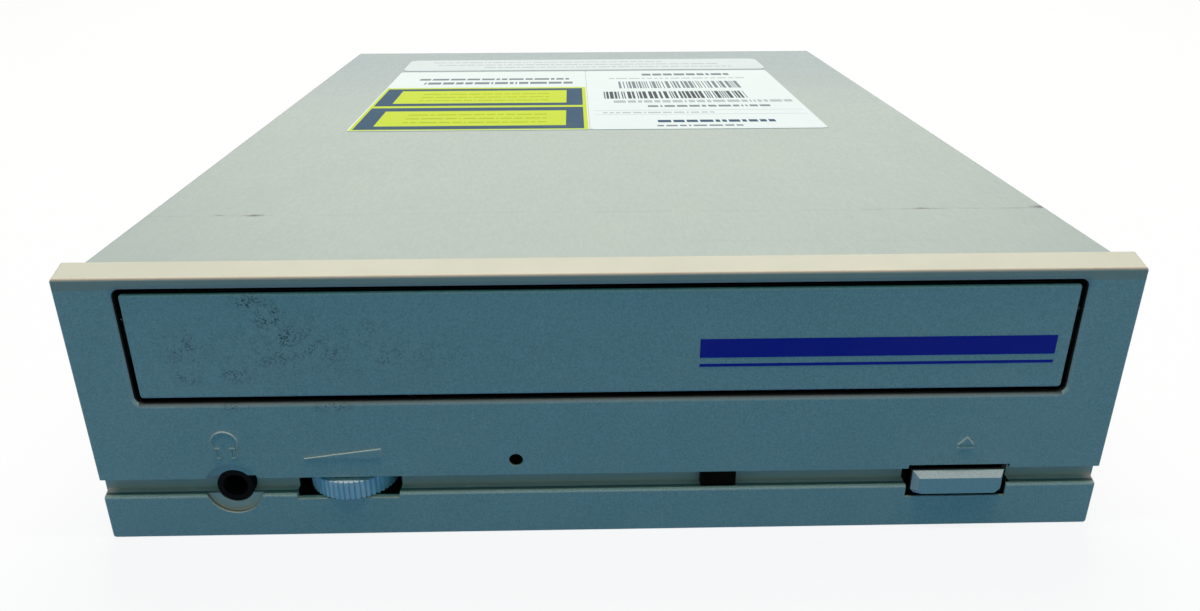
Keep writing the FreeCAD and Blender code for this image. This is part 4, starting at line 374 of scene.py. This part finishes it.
def door_grime_and_painted_shade(tree, place, colour, roughness):
    """The front's grime, and painted shade on the sides between the door's rounded edge and its back."""
    colour, roughness = front_grime(tree, place, colour, roughness)
    # painted shade, near black, on the door's sides
    return add(tree, "mix", inside(tree, place, DOOR_SIDES_PAINTED_SHADE), colour, linear("#080808")), roughness


def button_grain_and_painted_shade(tree, place, colour, roughness):
    """The eroded grain, and painted shade on the sides behind the bezel's face."""
    colour = eroded_grain(tree, place, colour)
    # painted shade, near black, on the button's sides
    return add(tree, "mix", inside(tree, place, BUTTON_SIDES_PAINTED_SHADE), colour, linear("#080808")), roughness


def cover_wear_and_painted_shade(tree, place, colour, roughness):
    """Painted cool shade towards the back, hairline scratches, a long scuff across the roof's front and four
    dark rubs near it.
    """
    x, y = add(tree, "x", place), add(tree, "y", place)
    # painted shade: the roof turns darker and bluer towards the back
    back = add(tree, "ramp", y, BACK_SHADE_FROM * MM, BACK_SHADE_TO * MM, 0.0, 0.75)
    colour = add(tree, "mix", back, colour, linear("#7f9099"))
    scratches = clouds(tree, place, size_mm=3.0, detail=4.0, rough=0.7, stretch=(0.09, 1.6, 1.0))
    scratches = add(tree, "ramp", scratches, 0.66, 0.72, 0.0, 0.16)
    near_front = add(tree, "ramp", y, SCRATCHED_TO * MM, SCRATCHED_LESS * MM, 1.0, 0.15)
    colour = add(tree, "mix", add(tree, "times", scratches, near_front), colour, linear("#8e9896"))
    reach = SCUFF_WANDER * MM
    wander = add(tree, "ramp", clouds(tree, place, size_mm=40.0), 0.2, 0.8, -reach, reach)
    off_line = add(tree, "unsigned", add(tree, "plus", add(tree, "plus", y, -SCUFF_Y * MM), wander))
    line = add(tree, "ramp", off_line, SCUFF_CORE * MM, SCUFF_EDGE * MM, 1.0, 0.0)
    breaks = clouds(tree, place, size_mm=6.0, rough=0.6, stretch=(1.0, 0.02, 0.02))
    breaks = add(tree, "ramp", breaks, 0.40, 0.60, 0.10, 0.60)
    to_right = add(tree, "ramp", x, SCUFF_FAINT * MM, SCUFF_STRONG * MM, 0.25, 1.0)
    line = add(tree, "times", line, add(tree, "times", breaks, to_right))
    colour = add(tree, "mix", line, colour, linear("#6d746f"))
    marks = 0.0
    for middle_x, middle_y, half_x, half_y, strength in ROOF_MARKS:
        mark = patch(tree, place, (middle_x, middle_y, ROOF_Z), (half_x, half_y, MARK_DEPTH))
        marks = add(tree, "larger", marks, add(tree, "times", mark, strength))
    mottle = add(tree, "ramp", clouds(tree, place, size_mm=0.8, rough=0.7), 0.3, 0.5, 0.6, 1.0)
    colour = add(tree, "mix", add(tree, "times", marks, mottle), colour, linear("#3a3d3c"))
    return colour, add(tree, "plus", roughness, add(tree, "times", scratches, 0.4))


def board_copper(tree, place, colour, roughness):
    """Copper tracks under the solder mask, a little lighter than the ground, and pads about 5.08 mm apart."""
    cells = add(tree, "cells", place, 1.0 / (3.2 * MM), 0.35)
    tracks = add(tree, "times", add(tree, "ramp", cells, 0.07, 0.10, 1.0, 0.0), 0.55)
    colour = add(tree, "mix", tracks, colour, linear("#2f8a4c"))
    pads = add(tree, "ramp", add(tree, "dots", place, 1.0 / (5.08 * MM), 0.6), 0.10, 0.13, 1.0, 0.0)
    return add(tree, "mix", pads, colour, linear("#c9c4b4")), roughness


def gold_fade(tree, place, colour, roughness):
    """Thin gold flash, paler where it is worn by plugs."""
    worn = add(tree, "ramp", clouds(tree, place, size_mm=1.5), 0.45, 0.7, 0.0, 0.5)
    return add(tree, "mix", worn, colour, linear("#cfc6a4")), roughness


# Every finish, by the real material and how its surface was made

def all_finishes():
    """The finish of each record slot."""
    look = bpy.context.scene.recorder_colours
    bezel, cover = hex_of(look.bezel), hex_of(look.cover)
    return {
        # ABS out of a spark-eroded mould: warm grey, dull, with dust in its grain
        "bezel_plastic": moulded("abs_grained_bezel", bezel, "#cbc7b7", 0.30, 0.52, 0.030, 1.53, bezel_grime_and_painted_shading,
                                 shine=0.22),
        "door_plastic": moulded("abs_grained_door", bezel, "#cac6b7", 0.30, 0.50, 0.030, 1.53, door_grime_and_painted_shade,
                                shine=0.22),
        # the same ABS, the button rubbed smoother and paler by fingers
        "button_plastic": moulded("abs_polished_button", "#d6d4c8", "#d0cfc4", 0.40, 0.38, 0.012, 1.53,
                                  button_grain_and_painted_shade, shine=0.22),
        # the wheel: lighter and bluer than the bezel, a painted highlight for the light it catches
        "wheel_plastic": moulded("abs_ribbed_wheel", "#e6ebec", "#dde3e6", 0.40, 0.42, 0.012, 1.53,
                                 shine=0.3),
        # zinc-coated steel sheet, rolled: a soft sheen with hairline scratches
        "case_steel": metal("steel_zinc_sheet", cover, "#93a09e", 0.50, 0.15, 0.5, (1.0, 0.25, 1.0), 0.003,
                            cover_wear_and_painted_shade),
        # the same steel, pressed, inside the case: brighter, because nothing has worn it
        "plate_steel": metal("steel_zinc_pressed", "#b4b8b4", "#a2a8a6", 0.38, 0.85, 0.4, (1.0, 0.2, 1.0),
                             0.006),
        # glass-filled nylon, moulded: black with a faint fibrous grain
        "frame_plastic": moulded("nylon_glass_filled_frame", "#1b1c1e", "#242628", 0.5, 0.48, 0.02, 1.53),
        "lift_plastic": moulded("nylon_glass_filled_lift", "#2c2e31", "#36383b", 0.5, 0.45, 0.02, 1.53),
        # ABS out of a finely etched mould: dark grey with a satin sheen
        "tray_plastic": moulded("abs_satin_tray", "#2a2c30", "#32353a", 0.35, 0.42, 0.015, 1.53),
        "puck_plastic": moulded("abs_satin_turntable", "#202225", "#292b2f", 0.35, 0.40, 0.010, 1.53),
        # acetal, moulded in gear tools: milky white, waxy
        "gear_plastic": moulded("acetal_gear", "#e6e2d6", "#dcd8ca", 0.8, 0.32, 0.004, 1.48),
        "cam_plastic": moulded("acetal_cam", "#dedacb", "#d2cebe", 0.8, 0.34, 0.004, 1.48),
        # glass epoxy board under a glossy green solder mask
        "board": moulded("epoxy_board_green_mask", "#0f4a26", "#12552c", 0.6, 0.28, 0.004, 1.55, board_copper,
                         coat=0.4),
        # epoxy, transfer moulded round the chips: black and dull
        "chip_resin": moulded("epoxy_chip_moulding", "#17181a", "#1e1f22", 0.25, 0.55, 0.012, 1.55),
        # PVC film shrunk onto the capacitors: dark blue and glossy
        "can_sleeve": moulded("pvc_shrink_sleeve", "#141b3a", "#1a2246", 1.2, 0.25, 0.004, 1.53),
        # nylon, moulded: one dyed black and very dull, one its natural cream
        "connector_black": moulded("nylon_black_connector", "#0c0c0e", "#111214", 0.4, 0.60, 0.010, 1.53,
                                   shine=0.03),
        "connector_white": moulded("nylon_natural_connector", "#e2ddcd", "#d8d2c0", 0.4, 0.40, 0.008, 1.53),
        # brass pins with a thin plating of gold: yellow and bright
        "contact_plate": metal("brass_gold_flash", "#d9b35a", "#c9a24c", 0.22, 1.0, 0.3, (1.0, 0.2, 1.0),
                               0.002, gold_fade),
        # steel with a bright zinc plating: turned into screws, and drawn into motor cans
        "screw_steel": metal("steel_zinc_screw", "#b9bbb7", "#a9aca9", 0.30, 1.0, 0.15, None, 0.004),
        "motor_steel": metal("steel_drawn_can", "#a8abad", "#989ca0", 0.28, 1.0, 0.2, (1.0, 1.0, 0.08),
                             0.003),
        # brass, turned: fine rings round the shaft
        "brass": metal("brass_turned", "#c9a45c", "#b8924a", 0.25, 1.0, 0.12, (1.0, 1.0, 0.05), 0.003),
        # nitrile and butyl rubber, moulded: black and dull
        "rubber": moulded("rubber_moulded", "#161616", "#1f1f20", 0.6, 0.70, 0.012, 1.52),
        # stainless steel, ground: a mirror with faint lines along the rods
        "rod_steel": metal("stainless_ground_rod", "#c4c6c8", "#b8babd", 0.14, 1.0, 0.08, (1.0, 0.03, 1.0),
                           0.001),
        # zinc alloy, die cast: grey and slightly mottled
        "cast_metal": metal("zinc_alloy_die_cast", "#9c9fa0", "#8c9092", 0.42, 0.9, 0.5, None, 0.012),
        "lens_glass": lens_finish(),
        # acrylic, moulded and smoked: black and even, with next to no gloss
        "led_lens": moulded("acrylic_smoked_window", "#010101", "#020202", 2.0, 0.30, 0.001, 1.49,
                            shine=0.02),
        # tinted epoxy, cast: a green, glossy lamp
        "led_resin": moulded("epoxy_tinted_lamp", "#3b7a32", "#468a3c", 2.0, 0.15, 0.001, 1.55),
        # polyester film laminated over flat wires: off-white and smooth
        "ribbon": moulded("polyester_flat_cable", "#dfe0dc", "#d2d4cf", 0.9, 0.35, 0.004, 1.57),
    }


def lens_finish():
    """Moulded acrylic lens with a violet anti-reflection coat."""
    material, tree, place = blank_material("acrylic_coated_lens")
    share = add(tree, "ramp", clouds(tree, place, size_mm=2.0), 0.3, 0.7)
    tint = add(tree, "mix", share, linear("#7a86b8"), linear("#8d7fb6"))
    finish_surface(tree, tint, 0.06, None, 0.0,
                   {"IOR": 1.49, "Transmission Weight": 0.6, "Coat Weight": 0.5})
    return material


def printed_paper(name):
    """Coated label stock under a thin satin varnish; the print is the mesh's own colour for each face."""
    material, tree, place = blank_material(name)
    dust = add(tree, "ramp", clouds(tree, place, size_mm=7.0, detail=5.0, rough=0.65), 0.45, 0.85, 0.0, 0.06)
    colour = add(tree, "mix", dust, add(tree, "print"), linear("#a9ada6"))
    fibre = clouds(tree, place, size_mm=0.6, rough=0.6)
    roughness = add(tree, "plus", add(tree, "ramp", fibre, 0.3, 0.7, -0.05, 0.05), 0.5)
    finish_surface(tree, colour, roughness, fibre, 0.01, {"IOR": 1.38, "Specular IOR Level": 0.03})
    return material


def ink_film(name, hex_colour):
    """Pad-printed ink: opaque, slightly glossy, with the grain of the plastic showing through."""
    return moulded(name, hex_colour, hex_colour, 0.30, 0.40, 0.020, 1.5, shine=0.12)


# Meshes

def mesh_object(name, points, faces, body, material):
    """Object from arrays of points and of four-cornered faces, riding on a body."""
    mesh = bpy.data.meshes.new(name)
    mesh.from_pydata(points.reshape(-1, 3).tolist(), [], faces.tolist())
    mesh.update()
    mesh.materials.append(material)
    piece = bpy.data.objects.new(name, mesh)
    bpy.context.scene.collection.objects.link(piece)
    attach(piece, body)
    return piece


def grid_faces(rows, columns, wrap_rows=False, wrap_columns=False):
    """Corner numbers of the faces of a grid of points, wrapped round on an axis where asked."""
    last_row = rows if wrap_rows else rows - 1
    last_column = columns if wrap_columns else columns - 1
    r, c = np.meshgrid(np.arange(last_row), np.arange(last_column), indexing="ij")
    r2, c2 = (r + 1) % rows, (c + 1) % columns
    corners = [r * columns + c, r2 * columns + c, r2 * columns + c2, r * columns + c2]
    return np.stack(corners, axis=-1).reshape(-1, 4)


def mitres(path, closed):
    """Unit bisectors of a path's corners, lengthened so that the runs beside them keep their width."""
    ahead = np.roll(path, -1, axis=0) - path
    if not closed:
        ahead[-1] = ahead[-2]
    ahead /= np.linalg.norm(ahead, axis=1, keepdims=True)
    behind = np.roll(ahead, 1, axis=0)
    if not closed:
        behind[0] = ahead[0]
    normal_ahead = np.stack([ahead[:, 1], -ahead[:, 0]], axis=1)
    normal_behind = np.stack([behind[:, 1], -behind[:, 0]], axis=1)
    mitre = normal_ahead + normal_behind
    return mitre / np.maximum(np.sum(mitre * normal_ahead, axis=1, keepdims=True), 0.35)


def ridge_points(path, width, height, sink, closed, steps=7):
    """Low rounded ridge along a path in the XZ plane: each corner has a half ellipse along the bisector of
    its two runs, width across and height proud towards the front, with its feet sunk into the face. An open
    ridge shrinks to a point at its two ends."""
    angle = np.linspace(0, math.pi, steps)
    across = np.concatenate([[0.5], 0.5 * np.cos(angle), [-0.5]]) * width
    proud = np.concatenate([[-sink], height * np.sin(angle), [-sink]])
    taper = np.ones((len(path), 1))
    if not closed:
        taper[[0, -1]] = 0.01
    flat = path[:, None, :] + mitres(path, closed)[:, None, :] * (taper * across)[..., None]
    return np.stack([flat[..., 0], -taper * proud, flat[..., 1]], axis=-1)


def plateau_points(path, width, height, sink, steps=5):
    """Low flat-topped figure inside a closed path in the XZ plane: a quarter ellipse rises from each corner
    along its bisector, width in and height proud, and the top runs level to the middle."""
    middle = path.mean(axis=0)
    mitre = mitres(path, True)
    mitre *= np.sign(np.sum((middle - path) * mitre, axis=1, keepdims=True))
    angle = np.linspace(0, math.pi / 2, steps)
    inward = np.concatenate([[0.0], 1 - np.cos(angle)]) * width
    proud = np.concatenate([[-sink], height * np.sin(angle), [height]])
    rim = path[:, None, :] + mitre[:, None, :] * inward[None, :, None]
    flat = np.concatenate([rim, np.broadcast_to(middle, (len(path), 1, 2))], axis=1)
    return np.stack([flat[..., 0], np.broadcast_to(-proud, flat.shape[:2]), flat[..., 1]], axis=-1)


def arc(centre, radius, start, stop, count):
    """Points along an arc, angles in degrees from the right, anticlockwise."""
    angle = np.radians(np.linspace(start, stop, count))
    return [(centre[0] + radius * math.cos(a), centre[1] + radius * math.sin(a)) for a in angle]


def raised_icon(name, strokes):
    """Raised strokes on the bezel's face joined into one piece, each given by its path and its kind."""
    look = bpy.context.scene.recorder_sizes
    face_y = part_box("front_bezel")[0][1]
    points, faces, start = [], [], 0
    for path, kind in strokes:
        path = np.asarray(path, dtype=float) * MM
        if kind == "plateau":
            stroke = plateau_points(path, look.icon_line / 2, look.icon_height, ICON_SINK * MM)
        else:
            stroke = ridge_points(path, look.icon_line, look.icon_height, ICON_SINK * MM, kind == "ring")
        rows, columns = stroke.shape[:2]
        stroke[..., 1] += face_y
        points.append(stroke.reshape(-1, 3))
        faces.append(grid_faces(rows, columns, kind != "line", kind != "plateau") + start)
        start += rows * columns
    plastic = NODES["front_bezel"].data.materials[0]
    points, faces = np.concatenate(points), np.concatenate(faces)
    turn_outwards(mesh_object(name, points, faces, "root", plastic))


def turn_outwards(piece):
    """Makes the faces of a closed piece point outwards."""
    shell = bmesh.new()
    shell.from_mesh(piece.data)
    bmesh.ops.remove_doubles(shell, verts=shell.verts, dist=1e-7)
    bmesh.ops.recalc_face_normals(shell, faces=shell.faces)
    shell.to_mesh(piece.data)
    shell.free()


def sheet_lines(rectangles, axis, corner):
    """Sorted places of every cut across a sheet along one axis, with extra ones in its rounded corners."""
    low, high = rectangles[0][2 * axis:2 * axis + 2]
    lines = [value for r in rectangles for value in r[2 * axis:2 * axis + 2]]
    for share in CORNER_SHARES:
        lines += [low + share * corner, high - share * corner]
    return np.unique(np.round(lines, 3))


def printed_sheet(name, rectangles, height, thickness, body, material, upright=False, corner=0.0):
    """Sheet cut along the edges of its printed rectangles, each (x0, x1, y0, y1, colour) in millimetres.
    The first is the sheet itself, a later one prints over an earlier one, and each face has one ink.
    A point nearer a corner than its rounding is drawn onto the arc: p = c + (p - c) min(1, r / |p - c|)."""
    xs, ys = sheet_lines(rectangles, 0, corner), sheet_lines(rectangles, 1, corner)
    gx, gy = np.meshgrid(xs, ys, indexing="ij")
    cx, cy = np.meshgrid((xs[:-1] + xs[1:]) / 2, (ys[:-1] + ys[1:]) / 2, indexing="ij")
    inks = np.zeros(cx.shape + (4,))
    for x0, x1, y0, y1, colour in rectangles:
        inks[(cx > x0) & (cx < x1) & (cy > y0) & (cy < y1)] = linear(colour)
    if corner:
        centre_x = np.clip(gx, xs[0] + corner, xs[-1] - corner)
        centre_y = np.clip(gy, ys[0] + corner, ys[-1] - corner)
        away = np.maximum(np.hypot(gx - centre_x, gy - centre_y), 1e-9)
        pull = np.minimum(1.0, corner / away)
        gx, gy = centre_x + (gx - centre_x) * pull, centre_y + (gy - centre_y) * pull
    level = np.full(gx.shape, height)
    flat = np.stack([gx * MM, level, gy * MM] if upright else [gx * MM, gy * MM, level], axis=-1)
    piece = mesh_object(name, flat, grid_faces(len(xs), len(ys)), body, material)
    layer = piece.data.attributes.new("print", "FLOAT_COLOR", "FACE")
    layer.data.foreach_set("color", inks.reshape(-1))
    solid = piece.modifiers.new("thickness", "SOLIDIFY")
    solid.thickness = thickness
    solid.offset = 1.0


def small_print(x0, x1, y0, y1, colour, seed, longest):
    """Row of plain bars on a half-millimetre pitch, as small print looks from afar."""
    rng = np.random.default_rng(seed)
    bars, x = [], x0
    while x < x1 - PRINT_PITCH:
        wide = PRINT_PITCH * int(rng.integers(1, int(longest / PRINT_PITCH) + 1))
        bars.append((x, min(x + wide, x1), y0, y1, colour))
        x += wide + PRINT_PITCH
    return bars


def bar_row(x0, x1, y0, y1, colour, seed):
    """Row of upright bars of plain random widths."""
    rng = np.random.default_rng(seed)
    bars, x = [], x0
    while x < x1:
        wide = float(rng.choice(BAR_WIDTHS))
        bars.append((x, min(x + wide, x1), y0, y1, colour))
        x += wide + float(rng.choice(BAR_GAPS))
    return bars


def back_label():
    """Narrow sheet at the back, with three rows of faint small print."""
    sheet = [BACK_SHEET]
    for row in BACK_ROWS:
        sheet += small_print(*row)
    return sheet


def left_label():
    """Left sheet: a white head with a few marks, and two yellow fields framed in slate."""
    sheet = [LEFT_SHEET, YELLOW_GROUND]
    for frame_low, frame_high, field_low, field_high in FIELDS:
        sheet += [(*FRAME_X, frame_low, frame_high, SLATE), (*FIELD_X, field_low, field_high, YELLOW)]
        y = field_low + FIELD_FIRST_ROW
        for seed in FIELD_ROW_SEEDS:
            sheet += small_print(*FIELD_ROW_X, y, y + FIELD_ROW_HEIGHT, OLIVE, seed, FIELD_LONGEST)
            y += FIELD_ROW_PITCH
    for row in LEFT_ROWS:
        sheet += small_print(*row)
    return sheet


def right_label():
    """Right sheet: two rows of upright bars between rows of small print, and two rules."""
    sheet = [RIGHT_SHEET]
    for row in BAR_ROWS:
        sheet += bar_row(*row)
    for row in RIGHT_ROWS:
        sheet += small_print(*row)
    return [*sheet, *RULES]


# Stage

def seen_rays(tree):
    """1 for the rays that see the backdrop: straight from the camera, or by way of gloss or glass."""
    glossy = add(tree, "larger", add(tree, "camera_rays"), add(tree, "gloss_rays"))
    return add(tree, "larger", glossy, add(tree, "glass_rays"))


def make_floor():
    """Round floor: to the eye pale paper with the object's soft shadow, and a dim blue table elsewhere."""
    ring = np.linspace(0, 2 * math.pi, FLOOR_CORNERS + 1)[:-1]
    radii = np.array(FLOOR_RADII)[:, None]
    x, y = radii * np.cos(ring), radii * np.sin(ring)
    points = np.stack([x, y, np.full(x.shape, FLOOR_Z)], axis=-1)
    mesh = bpy.data.meshes.new("floor")
    mesh.from_pydata(points.reshape(-1, 3).tolist(), [], grid_faces(*x.shape, wrap_columns=True).tolist())
    mesh.update()
    floor = bpy.data.objects.new("floor", mesh)
    bpy.context.scene.collection.objects.link(floor)
    material, tree, _ = blank_material("paper_backdrop")
    table = add(tree, "both", add(tree, "dull", TABLE), add(tree, "glow", TABLE_LIGHT, TABLE_POWER))
    paper = add(tree, "blend", GLOW_SHARE, add(tree, "dull", PAPER), add(tree, "glow", SEEN_WHITE, 1.0))
    add(tree, "material", add(tree, "blend", seen_rays(tree), table, paper))
    mesh.materials.append(material)


def make_lamps():
    """A broad warm lamp above and behind for the roof, and two above the front that pick out its edges."""
    for name, place, target, size, power, colour in LAMPS:
        light = bpy.data.lights.new(name, "AREA")
        light.shape = "RECTANGLE"
        light.size, light.size_y = size
        light.energy = power
        light.color = colour
        away = np.array(target) - np.array(place)
        tilt = math.acos(-away[2] / np.linalg.norm(away))
        holder = bpy.data.objects.new(name, light)
        holder.location = place
        holder.rotation_euler = (tilt, 0.0, math.atan2(-away[0], away[1]))
        bpy.context.scene.collection.objects.link(holder)


def make_world():
    """White to the eye and in reflections, and a dim cool light from all sides elsewhere."""
    world = bpy.data.worlds.new("studio")
    world.use_nodes = True
    tree = world.node_tree
    tree.nodes.clear()
    dim, white = add(tree, "sky", ROOM_LIGHT, ROOM_POWER), add(tree, "sky", SEEN_WHITE, 1.0)
    add(tree, "world", add(tree, "blend", seen_rays(tree), dim, white))
    bpy.context.scene.world = world


def make_camera():
    """The camera that took the photo, as fitted to the drive's known width."""
    data = bpy.data.cameras.new("camera")
    data.sensor_width = SENSOR
    data.lens = LENS
    data.shift_x, data.shift_y = SHIFT
    data.clip_start = NEAR_CLIP
    yaw = Matrix.Rotation(math.radians(YAW), 4, "Z")
    pitch = Matrix.Rotation(math.radians(90.0 - PITCH), 4, "X")
    roll = Matrix.Rotation(math.radians(ROLL), 4, "Z")
    holder = bpy.data.objects.new("camera", data)
    holder.location = CAMERA_PLACE
    holder.rotation_euler = (yaw @ pitch @ roll).to_euler()
    bpy.context.scene.collection.objects.link(holder)
    bpy.context.scene.camera = holder


# Properties

COLOUR = {"subtype": "COLOR", "size": 4, "min": 0.0, "max": 1.0}
LENGTH = {"unit": "LENGTH", "min": 0.0}


class RecorderColours(bpy.types.PropertyGroup):
    """Colours that a user would change."""
    bezel: bpy.props.FloatVectorProperty(
        name="Bezel", description="Moulded bezel and door", default=linear("#cfcaba"), **COLOUR)
    cover: bpy.props.FloatVectorProperty(
        name="Cover", description="Zinc-coated steel cover", default=linear("#96a29f"), **COLOUR)
    stripe: bpy.props.FloatVectorProperty(
        name="Stripe", description="Printed stripes on the door", default=linear("#1a2aa6"), **COLOUR)


class RecorderSizes(bpy.types.PropertyGroup):
    """Sizes that a user would change."""
    icon_line: bpy.props.FloatProperty(
        name="Icon line", description="Width of an icon's raised line", default=0.30 * MM, **LENGTH)
    icon_height: bpy.props.FloatProperty(
        name="Icon height", description="How far an icon stands out", default=0.20 * MM, **LENGTH)
    label_thickness: bpy.props.FloatProperty(
        name="Label", description="Thickness of the label sheets", default=0.10 * MM, **LENGTH)
    stripe_width: bpy.props.FloatProperty(
        name="Stripe width", description="Length of the door's stripes", default=50.0 * MM, **LENGTH)


# Operators

class RECORDER_OT_finishes(bpy.types.Operator):
    """Gives every CAD node its finish"""
    bl_idname = "recorder.finishes"
    bl_label = "Finish the pieces"

    def execute(self, context):
        finishes = all_finishes()
        for entry in frame["record"]["subparts"]:
            node = NODES[entry["node"]]
            node.data.materials.clear()
            node.data.materials.append(finishes[entry["material_slot"]])
        return {"FINISHED"}


class RECORDER_OT_label(bpy.types.Operator):
    """Makes the blank label on the roof: white stock, two plain yellow fields, rules and bars"""
    bl_idname = "recorder.label"
    bl_label = "Label"

    def execute(self, context):
        thickness = context.scene.recorder_sizes.label_thickness
        for name, rectangles, corner in (("label_back", back_label(), BACK_CORNER),
                                         ("label_left", left_label(), LEFT_CORNER),
                                         ("label_right", right_label(), RIGHT_CORNER)):
            printed_sheet(name, rectangles, ROOF_Z * MM, thickness, "root",
                          printed_paper("paper_" + name), corner=corner)
        return {"FINISHED"}


class RECORDER_OT_stripe(bpy.types.Operator):
    """Makes the plain stripes printed on the door"""
    bl_idname = "recorder.stripe"
    bl_label = "Door stripe"

    def execute(self, context):
        blue = hex_of(context.scene.recorder_colours.stripe)
        start = STRIPE_END - context.scene.recorder_sizes.stripe_width / MM
        for name, ink, low, high in STRIPES:
            printed_sheet(name, [(start, STRIPE_END, low, high, blue)], (DOOR_Y - STRIPE_GAP) * MM,
                          STRIPE_THICK * MM, "tray", ink_film(ink, blue), upright=True)
        return {"FINISHED"}


class RECORDER_OT_icons(bpy.types.Operator):
    """Makes the raised headphone, volume and eject icons"""
    bl_idname = "recorder.icons"
    bl_label = "Front icons"

    def execute(self, context):
        left, right = ([(PHONES_X + x, z) for x, z in end] for end in (BAND_LEFT, BAND_RIGHT))
        band = [*left, *arc((PHONES_X, PHONES_Z), BAND_RADIUS, 180, 0, 17), *right]
        phones = [(band, "line")]
        for offset in CUPS:
            x0 = PHONES_X + offset
            x1 = x0 + CUP_WIDTH
            phones.append((((x0, CUP_LOW), (x0, CUP_HIGH), (x1, CUP_HIGH), (x1, CUP_LOW)), "ring"))
        raised_icon("icon_headphones", phones)
        raised_icon("icon_volume", [(VOLUME_WEDGE, "plateau")])
        raised_icon("icon_eject", [(EJECT_ARROW, "plateau"), (EJECT_BAR, "plateau")])
        return {"FINISHED"}


class RECORDER_OT_stage(bpy.types.Operator):
    """Makes the floor, the lamps, the world and the camera"""
    bl_idname = "recorder.stage"
    bl_label = "Stage"

    def execute(self, context):
        make_floor()
        make_lamps()
        make_world()
        make_camera()
        context.scene.view_settings.view_transform = "Standard"
        return {"FINISHED"}


class RECORDER_PT_panel(bpy.types.Panel):
    """Lists the recorder's colours, sizes and pieces"""
    bl_label = "Disc recorder"
    bl_idname = "RECORDER_PT_panel"
    bl_space_type = "VIEW_3D"
    bl_region_type = "UI"
    bl_category = "Recorder"

    def draw(self, context):
        for group in (context.scene.recorder_colours, context.scene.recorder_sizes):
            for key in group.__annotations__:
                self.layout.prop(group, key)
        for operator in OPERATORS:
            self.layout.operator(operator.bl_idname)


OPERATORS = (RECORDER_OT_finishes, RECORDER_OT_label, RECORDER_OT_stripe, RECORDER_OT_icons,
             RECORDER_OT_stage)
CLASSES = (RecorderColours, RecorderSizes, *OPERATORS, RECORDER_PT_panel)


def register():
    """Registers the classes and hangs the colours and sizes on the scene."""
    for cls in CLASSES:
        bpy.utils.register_class(cls)
    bpy.types.Scene.recorder_colours = bpy.props.PointerProperty(type=RecorderColours)
    bpy.types.Scene.recorder_sizes = bpy.props.PointerProperty(type=RecorderSizes)


def unregister():
    """Takes the colours and sizes off the scene and unregisters the classes."""
    del bpy.types.Scene.recorder_sizes
    del bpy.types.Scene.recorder_colours
    for cls in reversed(CLASSES):
        bpy.utils.unregister_class(cls)


def main():
    register()
    for operator in OPERATORS:
        family, name = operator.bl_idname.split(".")
        getattr(getattr(bpy.ops, family), name)()


if __name__ == "__main__":
    main()
